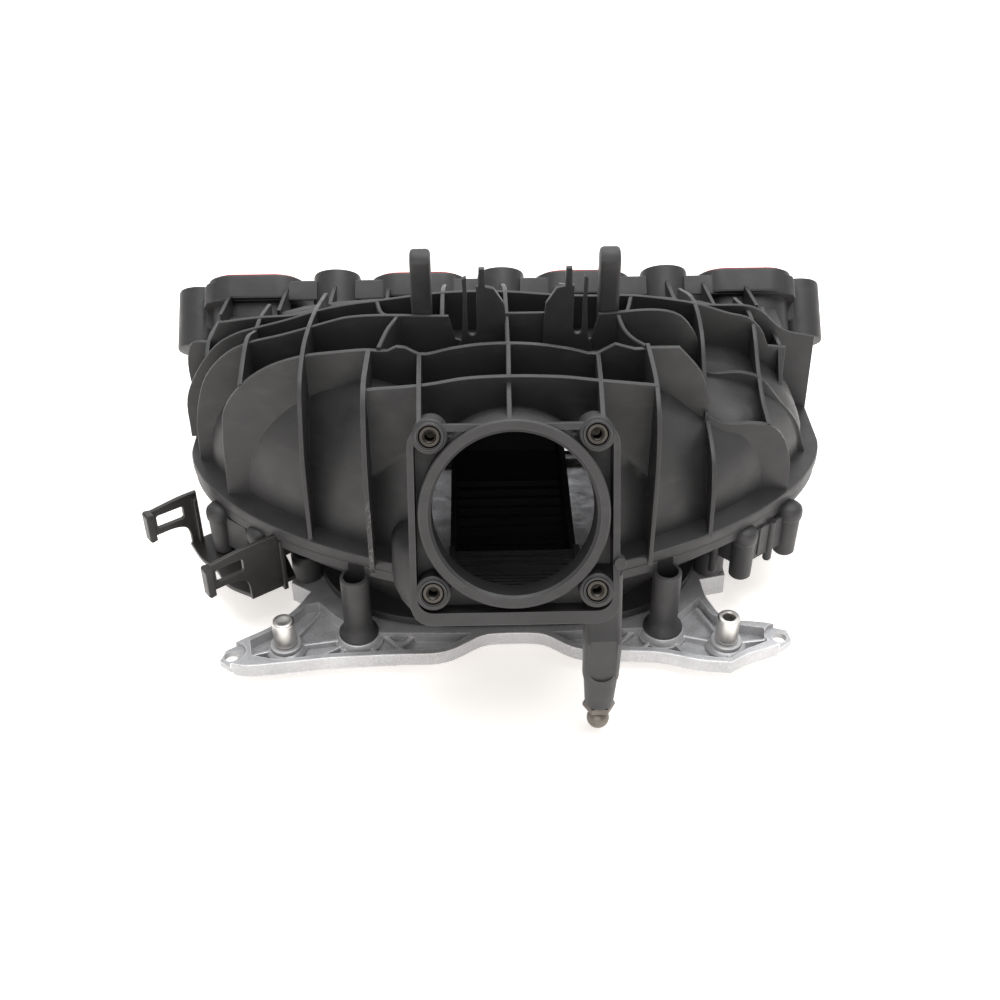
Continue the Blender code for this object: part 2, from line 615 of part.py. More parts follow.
def make_runner_shell(material):
    wall_y = PLENUM_BACK + GAP
    base = prism(end_wall_outline(), -wall_y - 4, -wall_y, ALONG_Y)
    adds = []
    outer_w = PORT_WIDTH + 2 * PORT_WALL
    outer_h = PORT_HEIGHT + 2 * PORT_WALL
    for x in PORT_XS:
        adds.append(runner_solid(x, outer_w - 2, outer_h - 2, 0))
        adds.append(prism(rounded_box(outer_w, 2 * PORT_CENTRE_S, 16, (x, PORT_CENTRE_S), 2),
                          -COLLAR_DEPTH, 0, FLANGE))
    plate = [(-166, 8), (-158, 2.5), (158, 2.5), (166, 8), (166, 48), (150, 52), (-150, 52), (-166, 48)]
    adds.append(prism(plate, 0.5 - COLLAR_DEPTH, -COLLAR_RISE, FLANGE))
    for x, s in BOSSES:
        adds.append(rod(BOSS_RADIUS, -BOSS_LENGTH, 1.5, (x, s), FLANGE, 16))
    for x in (-END_BOSS_X, END_BOSS_X):
        inner = math.copysign(150, x)
        adds.append(prism([(inner, 22), (x, 22), (x, 46), (inner, 46)], -24, -8, FLANGE))
    for x, half in ((-149, 0), (-118, 0), (-91, 1), (-62, 0), (-30, 0), (0, 1), (30, 0), (62, 0),
                    (91, 1), (112, 0), (135, 0)):
        top = 97 if half else 92
        outline = [(wall_y + 1, 104), (101, top), (106, 84), (84, 58), (wall_y + 1, 60)]
        adds.append(prism(outline, x - RIB / 2, x + RIB / 2, ALONG_X))
    cuts = [runner_solid(x, PORT_WIDTH, PORT_HEIGHT, 8) for x in PORT_XS]
    for x in PORT_XS:
        centre = (x, PORT_CENTRE_S)
        width = outer_w - 3
        height = 2 * PORT_CENTRE_S - 3
        groove = prism(rounded_box(width, height, 14.5, centre, 2), -2.5, 4, FLANGE)
        core = rounded_box(width - 2 * SEAL_WIDTH - 1, height - 2 * SEAL_WIDTH - 1, 12, centre, 2)
        boolean(groove, [prism(core, -6, 6, FLANGE)], "DIFFERENCE")
        cuts.append(groove)
    for x, s in BOSSES:
        cuts.append(rod(SLEEVE_RADIUS + GAP, -BOSS_LENGTH - 20, 6, (x, s), FLANGE))
    return finish_piece("runner_shell", base, material, adds, cuts)


def make_port_seal(number, x, material):
    centre = (x, PORT_CENTRE_S)
    width = PORT_WIDTH + 2 * PORT_WALL - 3
    height = 2 * PORT_CENTRE_S - 3
    groove = 2 * SEAL_WIDTH + 1
    outer = rounded_box(width - 2 * GAP, height - 2 * GAP, 14.2, centre, 2)
    inner = rounded_box(width - groove + 2 * GAP, height - groove + 2 * GAP, 12.2, centre, 2)
    ring = prism(outer, -2.2, 1.2, FLANGE)
    return finish_piece(f"port_seal_{number}", ring, material, (), [prism(inner, -4, 4, FLANGE)])


def make_flange_sleeve(number, x, s, material):
    sleeve = rod(SLEEVE_RADIUS, -BOSS_LENGTH - 0.8, 2.0, (x, s), FLANGE)
    return finish_piece(f"flange_sleeve_{number}", sleeve, material, (),
                        [rod(SLEEVE_BORE, -BOSS_LENGTH - 5, 6, (x, s), FLANGE)])


def make_throttle_insert(number, centre, material):
    insert = rod(INSERT_RADIUS, -INSERT_LENGTH - 1, -1.2, centre, THROTTLE)
    return finish_piece(f"throttle_insert_{number}", insert, material, (),
                        [rod(INSERT_BORE, -INSERT_LENGTH + 1, 2, centre, THROTTLE, 16)])


# ---------------------------------------------------------------- inside

GUIDE_LEFT = -28.0
GUIDE_RIGHT = 31.0
GUIDE_WALL = 2.5
GUIDE_FOOT = 16.5


def make_inlet_guide(material):
    """A ridged ramp between two walls that leads the air from the bore down into the plenum."""
    under = [(45, 21), (20, GUIDE_FOOT), (-42, GUIDE_FOOT), (-68, 23), (-80, 40), (-86, 52.6), (-106, 56),
             (-128, 67.5)]
    ramp = [(-128, 71), (-106, 59.5), (-86, 56), (-77, 43), (-64, 28), (-40, 20), (20, 20), (45, 24)]
    walls = [(-128, 73), (-106, 63), (-86, 60), (-74, 48), (-60, 46), (30, 40), (45, 30)]
    base = prism(ramp + under, GUIDE_LEFT, GUIDE_RIGHT, ALONG_X)
    adds = [prism(walls + under, GUIDE_LEFT, GUIDE_LEFT + GUIDE_WALL, ALONG_X),
            prism(walls + under, GUIDE_RIGHT - GUIDE_WALL, GUIDE_RIGHT, ALONG_X)]
    for k in range(5):
        y = -54 + 14 * k
        ridge = [(y, GUIDE_FOOT + 1), (y + 3, GUIDE_FOOT + 1), (y + 1.5, 26 if y < -48 else 23)]
        adds.append(prism(ridge, GUIDE_LEFT + 1, GUIDE_RIGHT - 1, ALONG_X))
    return finish_piece("inlet_guide", base, material, adds)


# ---------------------------------------------------------------- carrier plate

EARS = [(-131, -102), (127, -96)]
PLATE_FRONT = [(-137, -103), (-133, -109), (-124, -112), (-109, -110), (-84, -107), (-34, -106),
               (-28, -104), (-12, -93), (14, -93), (29, -104), (53, -106), (85, -112), (102, -115),
               (110, -110), (127, -102), (133, -98), (131, -90), (122, -88), (106, -84), (98, -72),
               (95, -56)]
PLATE_BACK = [(108, -53), (108, -41), (98, -36), (98, 28), (116, 32), (116, 48), (98, 58), (-98, 58),
              (-116, 48), (-116, 32), (-98, 28), (-98, -36), (-108, -41), (-108, -53), (-98, -60),
              (-104, -72), (-114, -84), (-128, -94)]
WING_POCKETS = [
    [(-118, -103), (-92, -104), (-80, -101), (-92, -92), (-108, -88)],
    [(-62, -103), (-38, -102), (-30, -98), (-44, -93), (-60, -95)],
    [(34, -99), (54, -102), (62, -99), (58, -95), (40, -94)],
    [(84, -104), (104, -108), (112, -103), (104, -94), (88, -93)],
]
LOCATORS = [(-106, -96), (101, -99)]


def make_carrier_plate(material):
    base = prism(PLATE_FRONT + PLATE_BACK, 0, PLATE_TOP)
    adds = [rod(5.6, 0, PLATE_TOP + 0.2, ear) for ear in EARS]
    adds += [rod(7.2, 0, PLATE_TOP + 0.2, point) for point in LOCATORS]
    cuts = [prism(pocket, PLATE_FLOOR, PLATE_TOP + 5) for pocket in WING_POCKETS]
    cuts.append(prism(plan_outline(LOWER_HALF_WIDTH - 10, LOWER_DEPTH - 10, 50, 3.2), 8, PLATE_TOP + 5))
    cuts += [rod(3.4, -5, 20, ear) for ear in EARS]
    cuts += [rod(4.3, 3, 20, point) for point in LOCATORS]
    cuts += [rod(SCREW_RADIUS + GAP, 2, 20, point) for point in TOP_SCREWS]
    cuts += [rod(SCREW_RADIUS + GAP, -5, 20, point) for point in BASE_SCREWS]
    cuts += [rod(SCREW_HEAD + 0.6, -5, SCREW_HEAD_HEIGHT + 0.9, point) for point in BASE_SCREWS]
    groove = prism(plan_outline(LOWER_HALF_WIDTH - 3, LOWER_DEPTH - 3, 57, 3.2), 9.5, 16)
    boolean(groove, [prism(plan_outline(LOWER_HALF_WIDTH - 6, LOWER_DEPTH - 6, 54, 3.2), 5, 20)],
            "DIFFERENCE")
    cuts.append(groove)
    return finish_piece("carrier_plate", base, material, adds, cuts)


def make_plate_seal(material):
    ring = prism(plan_outline(LOWER_HALF_WIDTH - 3 - GAP, LOWER_DEPTH - 3 - GAP, 57 - GAP, 3.2), 9.8,
                 LOWER_BOTTOM - GAP)
    hole = prism(plan_outline(LOWER_HALF_WIDTH - 6 + GAP, LOWER_DEPTH - 6 + GAP, 54 + GAP, 3.2), 5, 20)
    return finish_piece("plate_seal", ring, material, (), [hole])


def make_plate_screw(number, centre, tip, head, material):
    """A socket screw between its tip and the seat of its head, either way up."""
    place = frame_from((*centre, 0), (1, 0, 0), (0, 1, 0))
    way = math.copysign(1, head - tip)
    crown = head + way * SCREW_HEAD_HEIGHT
    profile = [(0, tip), (SCREW_RADIUS, tip), (SCREW_RADIUS, head), (SCREW_HEAD, head),
               (SCREW_HEAD, crown), (0, crown)]
    socket = rod(2.4, crown - way * 3, crown + way * 3, centre, sides=6)
    return finish_piece(f"plate_screw_{number}", turned(profile, place), material, (), [socket])


def make_locating_pin(material):
    place = frame_from((*LOCATORS[0], 0), (1, 0, 0), (0, 1, 0))
    profile = [(0, 3.3), (4.0, 3.3), (4.0, PLATE_TOP + 0.5), (5.3, PLATE_TOP + 0.5), (5.3, 25), (4.5, 26),
               (0, 26)]
    return finish_piece("locating_pin", turned(profile, place), material)


def make_locating_sleeve(material):
    place = frame_from((*LOCATORS[1], 0), (1, 0, 0), (0, 1, 0))
    profile = [(0, 3.3), (4.0, 3.3), (4.0, PLATE_TOP + 0.5), (5.3, PLATE_TOP + 0.5), (5.3, 25.4),
               (4.7, 26), (0, 26)]
    return finish_piece("locating_sleeve", turned(profile, place), material, (),
                        [rod(2.5, 8, 40, LOCATORS[1])])


# ---------------------------------------------------------------- harness bracket

BRACKET_OUT = (-0.82, -0.57, 0.0)
BRACKET_ORIGIN = (-134.0, -49.0, 0.0)
BRACKET_HALF = 27.0
BRACKET_FLOOR = (21.0, 23.4)
BRACKET_SHEET = 2.2
ARM_REACH = 33.0
ARM_HOOK = 4.5
ARM_STARTS = (-5.0, 5.0)      # where the right and the left arm begin, clear of the shell


def make_harness_bracket(material):
    """A channel with two windowed arms, under the two left-hand pegs."""
    out = Vector(BRACKET_OUT).normalized()
    across = Vector((-out.y, out.x, 0))
    flat = frame_from(BRACKET_ORIGIN, out, across)
    upright = frame_from(BRACKET_ORIGIN, out, (0, 0, 1))
    low, high = BRACKET_FLOOR
    plan = [(-22, -12), (-4, -BRACKET_HALF), (12, -BRACKET_HALF), (10, -12), (6, 0), (10, 12),
            (6, BRACKET_HALF), (-18, BRACKET_HALF), (-22, 8)]
    floor = prism(plan, low, high, flat)
    adds = []
    cuts = []
    for side, start in zip((-BRACKET_HALF, BRACKET_HALF), ARM_STARTS):
        face = side + BRACKET_SHEET / 2
        arm = [(start, low), (11, low), (12, 32), (14, 34.5), (31, 36), (31, 50.5), (12, 52.5),
               (start, 52.5)]
        adds.append(prism(arm, side - BRACKET_SHEET / 2, face, upright))
        hook = [(29, 35.5), (ARM_REACH, 35.5), (ARM_REACH, 51), (29, 51)]
        adds.append(prism(hook, side - ARM_HOOK, face, upright))
        window = rounded_box(14, 7.5, 1.2, (20, 43.4), 2)
        cuts.append(prism(window, side - 6, side + 6, upright))
    return finish_piece("harness_bracket", floor, material, adds, cuts)


# ---------------------------------------------------------------- assembly

def clear_scene():
    for obj in list(bpy.data.objects):
        bpy.data.objects.remove(obj, do_unlink=True)


def build_manifold():
    clear_scene()
    materials = make_materials()
    make_upper_shell(materials["black_plastic"])
    make_lower_shell(materials["black_plastic"])
    make_runner_shell(materials["black_plastic"])
    make_inlet_guide(materials["duct_plastic"])
    make_carrier_plate(materials["cast_aluminium"])
    make_plate_seal(materials["green_seal"])
    for number, x in enumerate(PORT_XS, 1):
        make_port_seal(number, x, materials["red_seal"])
    for number, (x, s) in enumerate(BOSSES, 1):
        make_flange_sleeve(number, x, s, materials["zinc_steel"])
    for number, centre in enumerate(THROTTLE_SCREWS, 1):
        make_throttle_insert(number, centre, materials["brass"])
    screws = [(centre, 2.5, 19.3) for centre in TOP_SCREWS]
    screws += [(centre, BASE_SCREW_TOP, SCREW_HEAD_HEIGHT + 0.6) for centre in BASE_SCREWS]
    for number, (centre, tip, head) in enumerate(screws, 1):
        make_plate_screw(number, centre, tip, head, materials["zinc_steel"])
    make_locating_pin(materials["zinc_steel"])
    make_locating_sleeve(materials["zinc_steel"])
    make_ball_stud(materials["dark_steel"])
    make_stud_collar(materials["dark_steel"])
    make_harness_bracket(materials["bracket_plastic"])


build_manifold()
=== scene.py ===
"""Looks of the plastic intake manifold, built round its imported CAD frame.

X runs along the row of ports, +Y from the throttle flange to the head flange, +Z up.
Sizes are in millimetres in the CAD's frame and become metres where a mesh is made.
"""

import math

import bmesh
import bpy
from mathutils import Matrix, Vector


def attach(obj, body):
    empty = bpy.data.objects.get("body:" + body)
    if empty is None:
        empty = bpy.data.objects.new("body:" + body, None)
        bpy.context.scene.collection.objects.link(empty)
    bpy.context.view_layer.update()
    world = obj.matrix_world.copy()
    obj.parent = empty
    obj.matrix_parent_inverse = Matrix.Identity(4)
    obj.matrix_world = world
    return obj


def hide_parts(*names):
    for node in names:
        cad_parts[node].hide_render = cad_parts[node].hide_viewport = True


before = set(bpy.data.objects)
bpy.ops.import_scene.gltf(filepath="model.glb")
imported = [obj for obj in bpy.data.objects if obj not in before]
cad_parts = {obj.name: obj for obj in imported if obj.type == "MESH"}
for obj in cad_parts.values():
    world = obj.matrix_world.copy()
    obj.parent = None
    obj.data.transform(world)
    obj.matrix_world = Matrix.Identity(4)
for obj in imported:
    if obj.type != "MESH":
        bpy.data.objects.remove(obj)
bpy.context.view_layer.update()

MM = 0.001
GAP = 0.3
WELD = 2e-6
FLOOR_Z = -0.2

# Head flange.
PORT_PITCH = 91.0
PORT_WIDTH = 44.0
PORT_HEIGHT = 34.0
PORT_WALL = 5.0
PORT_CENTRE_S = 27.0
FLANGE_TILT = math.radians(42.0)
FLANGE_EDGE = (0.0, 103.0, 102.0)
COLLAR_RISE = 3.0
BOSS_RADIUS = 13.0
BOSS_LENGTH = 33.0
END_BOSS_X = 171.0
SLEEVE_RADIUS = 6.5
SLEEVE_BORE = 4.3
SEAL_WIDTH = 2.4

# Throttle flange.
THROTTLE_TILT = math.radians(25.9)
THROTTLE_CENTRE = (0.0, -131.2, 112.3)
THROTTLE_BORE = 33.8
THROTTLE_RING = 39.0
THROTTLE_BOLTS = (67.2, 64.6)
THROTTLE_BOSS = 7.2
INSERT_RADIUS = 4.4
INSERT_BORE = 2.6
INSERT_LENGTH = 14.0
HOUSING_HALF_WIDTH = 43.0
HOUSING_TOP = 37.0
HOUSING_BOTTOM = -46.5
HOUSING_WALL = 2.8
HOUSING_SHOULDER = 26.0
POCKET_DEPTH = 15.0
NECK_DEPTH = 62.0
CHAMBER_HALF_WIDTH = 40.0
CHAMBER_BOTTOM = -42.0

# Plenum.
RIM_TOP = 58.0
RIM_JOINT = 52.0
RIM_BOTTOM = 46.0
RIM_PLAN = (159.0, 105.0)
DOME_PLAN = (150.0, 96.0)
DOME_HEIGHT = 60.0
DOME_FALL = 0.2
DOME_POWER = 5.0
PLENUM_BACK = 62.0
WALL = 3.0
RIB = 2.1
LOWER_PLAN = (96.0, 88.0)
LOWER_BOTTOM = 12.6

# Carrier plate and its screws.
PLATE_TOP = 12.0
PLATE_FLOOR = 6.0
SCREW_RADIUS = 2.9
SCREW_HEAD = 4.5
SCREW_HEAD_HEIGHT = 4.6
BASE_SCREW_TOP = 20.0

WORLD = Matrix.Identity(4)


def frame_from(origin, x_axis, y_axis):
    """A placement whose local X and Y follow the two given directions."""
    x_axis = Vector(x_axis).normalized()
    z_axis = x_axis.cross(Vector(y_axis)).normalized()
    y_axis = z_axis.cross(x_axis)
    placement = Matrix((x_axis, y_axis, z_axis)).transposed().to_4x4()
    placement.translation = Vector(origin)
    return placement


FLANGE = frame_from(FLANGE_EDGE, (1, 0, 0), (0, math.sin(FLANGE_TILT), -math.cos(FLANGE_TILT)))
THROTTLE = frame_from(THROTTLE_CENTRE, (1, 0, 0), (0, math.sin(THROTTLE_TILT), math.cos(THROTTLE_TILT)))
ALONG_X = frame_from((0, 0, 0), (0, 1, 0), (0, 0, 1))
ALONG_Y = frame_from((0, 0, 0), (1, 0, 0), (0, 0, 1))

PORT_XS = [(i - 1.5) * PORT_PITCH for i in range(4)]
BOSSES = [(-END_BOSS_X, 34.0), (-PORT_PITCH, 10.0), (0.0, 10.0), (PORT_PITCH, 10.0), (END_BOSS_X, 34.0)]
THROTTLE_SCREWS = [(sx * THROTTLE_BOLTS[0] / 2, sy * THROTTLE_BOLTS[1] / 2)
                   for sy in (1, -1) for sx in (-1, 1)]


# ---------------------------------------------------------------- materials

class Look:
    """A procedural material under construction, on object coordinates."""

    def __init__(self, name, roughness, metallic=0.0, specular=0.5):
        self.material = bpy.data.materials.new(name)
        self.material.use_nodes = True
        self.tree = self.material.node_tree
        self.shader = self.tree.nodes["Principled BSDF"]
        self.shader.inputs["Roughness"].default_value = roughness
        self.shader.inputs["Metallic"].default_value = metallic
        self.shader.inputs["Specular IOR Level"].default_value = specular
        self.place = self.tree.nodes.new("ShaderNodeTexCoord").outputs["Object"]

    def link(self, source, target):
        self.tree.links.new(source, target)

    def noise(self, scale, detail=3.0, roughness=0.55, stretch=None):
        node = self.tree.nodes.new("ShaderNodeTexNoise")
        node.inputs["Scale"].default_value = scale
        node.inputs["Detail"].default_value = detail
        node.inputs["Roughness"].default_value = roughness
        place = self.place
        if stretch:
            mapping = self.tree.nodes.new("ShaderNodeMapping")
            mapping.inputs["Scale"].default_value = stretch
            self.link(place, mapping.inputs["Vector"])
            place = mapping.outputs["Vector"]
        self.link(place, node.inputs["Vector"])
        return node.outputs["Fac"]

    def ramp(self, value, low, high, out_low=0.0, out_high=1.0):
        node = self.tree.nodes.new("ShaderNodeMapRange")
        node.inputs["From Min"].default_value = low
        node.inputs["From Max"].default_value = high
        node.inputs["To Min"].default_value = out_low
        node.inputs["To Max"].default_value = out_high
        self.link(value, node.inputs["Value"])
        return node.outputs["Result"]

    def mix(self, factor, first, second):
        node = self.tree.nodes.new("ShaderNodeMix")
        node.data_type = "RGBA"
        self.link(factor, node.inputs["Factor"])
        for value, socket in ((first, node.inputs["A"]), (second, node.inputs["B"])):
            self.set_or_link(value, socket)
        return node.outputs["Result"]

    def set_or_link(self, value, socket):
        if isinstance(value, tuple):
            socket.default_value = (*value, 1.0)
        else:
            self.link(value, socket)

    def multiply(self, first, second):
        node = self.tree.nodes.new("ShaderNodeMath")
        node.operation = "MULTIPLY"
        self.link(first, node.inputs[0])
        self.link(second, node.inputs[1])
        return node.outputs["Value"]

    def edges(self, radius, low=0.9, high=0.995):
        """1 on an edge or in a corner, 0 on open faces."""
        bevel = self.tree.nodes.new("ShaderNodeBevel")
        bevel.samples = 4
        bevel.inputs["Radius"].default_value = radius * MM
        surface = self.tree.nodes.new("ShaderNodeNewGeometry")
        dot = self.tree.nodes.new("ShaderNodeVectorMath")
        dot.operation = "DOT_PRODUCT"
        self.link(bevel.outputs["Normal"], dot.inputs[0])
        self.link(surface.outputs["Normal"], dot.inputs[1])
        return self.ramp(dot.outputs["Value"], high, low)

    def near(self, centre, inner, outer):
        """1 inside a ball round a place on the object, fading to 0."""
        distance = self.tree.nodes.new("ShaderNodeVectorMath")
        distance.operation = "DISTANCE"
        self.link(self.place, distance.inputs[0])
        distance.inputs[1].default_value = [c * MM for c in centre]
        return self.ramp(distance.outputs["Value"], outer * MM, inner * MM)

    def bump(self, heights):
        """Stack bumps given as (height, strength, distance in mm)."""
        normal = None
        for height, strength, distance in heights:
            node = self.tree.nodes.new("ShaderNodeBump")
            node.inputs["Strength"].default_value = strength
            node.inputs["Distance"].default_value = distance * MM
            self.link(height, node.inputs["Height"])
            if normal:
                self.link(normal, node.inputs["Normal"])
            normal = node.outputs["Normal"]
        self.link(normal, self.shader.inputs["Normal"])

    def finish(self, colour, roughness=None):
        self.link(colour, self.shader.inputs["Base Color"])
        if roughness:
            self.link(roughness, self.shader.inputs["Roughness"])
        return self.material


def moulded_plastic(name, dark, light, worn_and_highlight, roughness, specular=0.45, scuffs=()):
    look = Look(name, roughness, specular=specular)
    patches = look.ramp(look.noise(14, 4), 0.38, 0.62)
    colour = look.mix(patches, dark, light)
    specks = look.ramp(look.noise(2600, 2), 0.66, 0.76, 0.0, 0.35)
    colour = look.mix(specks, colour, worn_and_highlight)
    flow = look.ramp(look.noise(60, 3, stretch=(1, 0.25, 3)), 0.55, 0.75, 0.0, 0.18)
    colour = look.mix(flow, colour, worn_and_highlight)
    # Lighter along edges and in corners: partly edge wear, partly a painted highlight along the rib crests.
    edge_wear_and_highlight = look.multiply(look.edges(0.7), look.ramp(look.noise(160, 4), 0.3, 0.7, 0.25, 0.75))
    colour = look.mix(edge_wear_and_highlight, colour, worn_and_highlight)
    for centre, inner, outer in scuffs:
        torn = look.multiply(look.near(centre, inner, outer), look.ramp(look.noise(420, 5, 0.7), 0.5, 0.6))
        colour = look.mix(torn, colour, (0.10, 0.098, 0.096))
    gloss = look.ramp(look.noise(90, 4), 0.3, 0.7, roughness - 0.07, roughness + 0.09)
    look.bump([(look.noise(2200, 2), 0.25, 0.06), (look.noise(240, 3), 0.2, 0.12)])
    return look.finish(colour, gloss)


def cast_metal(name, dark, light, edge, roughness, metallic, grain):
    look = Look(name, roughness, metallic)
    patches = look.ramp(look.noise(34, 4), 0.35, 0.65)
    colour = look.mix(patches, dark, light)
    grains = look.ramp(look.noise(grain, 3, 0.7), 0.45, 0.62)
    colour = look.mix(look.multiply(grains, look.ramp(look.noise(55, 2), 0.3, 0.7, 0.05, 0.3)), colour, edge)
    colour = look.mix(look.multiply(look.edges(0.9), look.ramp(look.noise(300, 3), 0.2, 0.7)), colour, edge)
    gloss = look.ramp(look.noise(170, 4), 0.3, 0.7, roughness - 0.08, roughness + 0.12)
    look.bump([(look.noise(grain, 4, 0.7), 0.45, 0.16), (look.noise(130, 2), 0.3, 0.2)])
    return look.finish(colour, gloss)


def turned_metal(name, dark, light, roughness, rings):
    look = Look(name, roughness, 1.0)
    colour = look.mix(look.ramp(look.noise(70, 5), 0.35, 0.65), dark, light)
    lines = look.noise(60, 2, stretch=(0.4, 0.4, rings))
    gloss = look.ramp(look.noise(240, 3), 0.3, 0.7, roughness - 0.06, roughness + 0.12)
    look.bump([(lines, 0.3, 0.05), (look.noise(900, 3), 0.2, 0.04)])
    return look.finish(colour, gloss)


def rubber(name, dark, light):
    look = Look(name, 0.6, specular=0.3)
    colour = look.mix(look.ramp(look.noise(90, 4), 0.35, 0.65), dark, light)
    gloss = look.ramp(look.noise(300, 3), 0.3, 0.7, 0.5, 0.72)
    look.bump([(look.noise(1500, 3), 0.3, 0.06)])
    return look.finish(colour, gloss)


def plain_floor():
    look = Look("floor", 0.9, specular=0.1)
    colour = look.mix(look.noise(2, 2), (0.93, 0.905, 0.88), (0.95, 0.925, 0.90))
    look.bump([(look.noise(500, 2), 0.02, 0.1)])
    look.shader.inputs["Emission Color"].default_value = (1.0, 0.97, 0.94, 1.0)
    look.shader.inputs["Emission Strength"].default_value = 0.45
    return look.finish(colour)


def make_looks():
    scuffs = [((-62, -97, 84), 6, 15), ((-62, -97, 66), 4, 10)]
    return {
        "black_plastic": moulded_plastic("fine_black_plastic", (0.018, 0.0175, 0.0175), (0.025, 0.024, 0.0245),
                                         (0.065, 0.063, 0.063), 0.47, 0.5, scuffs),
        "duct_plastic": moulded_plastic("fine_duct_plastic", (0.014, 0.014, 0.0145), (0.020, 0.020, 0.021),
                                        (0.05, 0.05, 0.05), 0.5, 0.45),
        "bracket_plastic": moulded_plastic("fine_bracket_plastic", (0.016, 0.015, 0.014),
                                           (0.022, 0.020, 0.019), (0.06, 0.055, 0.05), 0.36),
        "cast_aluminium": cast_metal("fine_cast_aluminium", (0.40, 0.40, 0.41), (0.52, 0.52, 0.53),
                                     (0.88, 0.86, 0.84), 0.44, 0.6, 900),
        "red_seal": rubber("fine_red_seal", (0.30, 0.02, 0.015), (0.42, 0.035, 0.02)),
        "green_seal": rubber("fine_green_seal", (0.02, 0.08, 0.045), (0.03, 0.11, 0.06)),
        "zinc_steel": turned_metal("fine_zinc_steel", (0.62, 0.60, 0.57), (0.80, 0.78, 0.75), 0.32, 60),
        "brass": turned_metal("fine_brass", (0.05, 0.046, 0.042), (0.09, 0.082, 0.072), 0.42, 60),
        "dark_steel": turned_metal("fine_dark_steel", (0.13, 0.115, 0.10), (0.20, 0.18, 0.16), 0.34, 40),
    }


# ---------------------------------------------------------------- outlines

def circle(radius, centre=(0.0, 0.0), sides=40):
    return [(centre[0] + radius * math.cos(2 * math.pi * i / sides),
             centre[1] + radius * math.sin(2 * math.pi * i / sides)) for i in range(sides)]


def rounded_box(width, height, radius, centre=(0.0, 0.0), steps=6):
    points = []
    for corner, (sx, sy) in enumerate(((1, 1), (-1, 1), (-1, -1), (1, -1))):
        for step in range(steps + 1):
            angle = math.radians(90 * corner + 90 * step / steps)
            points.append((centre[0] + sx * (width / 2 - radius) + radius * math.cos(angle),
                           centre[1] + sy * (height / 2 - radius) + radius * math.sin(angle)))
    return points


def ease(t):
    t = min(max(t, 0.0), 1.0)
    return t * t * (3 - 2 * t)


def smooth(points, spacing=4.0, corner=48.0, closed=False):
    """A curve through the points that keeps every turn sharper than the corner angle."""
    knots = [Vector(p) for p in points]
    count = len(knots)

    def direction(i):
        if not closed and i in (0, count - 1):
            return None
        before = knots[i] - knots[i - 1]
        after = knots[(i + 1) % count] - knots[i]
        if math.degrees(before.angle(after, math.pi)) > corner:
            return None
        return (before.normalized() + after.normalized()).normalized()

    result = []
    for i in range(count if closed else count - 1):
        a = knots[i]
        b = knots[(i + 1) % count]
        chord = b - a
        leave = direction(i)
        arrive = direction((i + 1) % count)
        straight = leave is None and arrive is None
        steps = 1 if straight else max(1, round(chord.length / spacing))
        reach = min(chord.length, 16.0) if closed else chord.length
        leave = chord if leave is None else leave * reach
        arrive = chord if arrive is None else arrive * reach
        for k in range(steps):
            t = k / steps
            result.append(tuple(a * (2 * t ** 3 - 3 * t ** 2 + 1) + leave * (t ** 3 - 2 * t ** 2 + t)
                                + b * (3 * t ** 2 - 2 * t ** 3) + arrive * (t ** 3 - t ** 2)))
    if not closed:
        result.append(tuple(knots[-1]))
    return result


def half_oval(half_width, depth, power, steps=60):
    points = []
    for step in range(steps + 1):
        angle = math.pi * step / steps
        x = half_width * abs(math.cos(angle)) ** (2 / power) * (1 if angle < math.pi / 2 else -1)
        points.append((x, -depth * abs(math.sin(angle)) ** (2 / power)))
    return points


def plan_outline(size, back, power=1.7, steps=60):
    """A D-shaped plan: straight sides behind y = 0 and an oval front."""
    return [(size[0], back)] + half_oval(*size, power, steps) + [(-size[0], back)]


def grown(size, by):
    return (size[0] + by, size[1] + by)


# ---------------------------------------------------------------- solids

def is_bent(face):
    origin = face.verts[0].co
    return any(abs(face.normal.dot(v.co - origin)) > WELD / 10 for v in face.verts)


def add_object(name, points, faces, placement=WORLD, soften=None):
    """A closed mesh, faces outward. soften is (cap faces' indices, radius): their edges are rounded."""
    mesh = bpy.data.meshes.new(name)
    mesh.from_pydata([placement @ Vector(p) * MM for p in points], [], faces)
    surface = bmesh.new()
    surface.from_mesh(mesh)
    bmesh.ops.recalc_face_normals(surface, faces=surface.faces)
    if soften:
        surface.faces.ensure_lookup_table()
        edges = list({edge for index in soften[0] for edge in surface.faces[index].edges})
        bmesh.ops.bevel(surface, geom=edges, offset=soften[1] * MM, segments=2, profile=0.5,
                        affect="EDGES", clamp_overlap=True)
    bent = [face for face in surface.faces if is_bent(face)]
    bmesh.ops.triangulate(surface, faces=bent)
    surface.to_mesh(mesh)
    surface.free()
    obj = bpy.data.objects.new(name, mesh)
    bpy.context.scene.collection.objects.link(obj)
    return obj


def prism(outline, low, high, placement=WORLD, edge=0.0):
    """A flat outline extruded along the placement's Z, its two caps' edges rounded."""
    count = len(outline)
    points = [(x, y, low) for x, y in outline] + [(x, y, high) for x, y in outline]
    faces = [tuple(reversed(range(count))), tuple(range(count, 2 * count))]
    faces += [(i, (i + 1) % count, (i + 1) % count + count, i + count) for i in range(count)]
    return add_object("solid", points, faces, placement, ((0, 1), edge) if edge else None)


def rod(radius, low, high, centre=(0.0, 0.0), placement=WORLD, edge=0.0, sides=40):
    return prism(circle(radius, centre, sides), low, high, placement, edge)


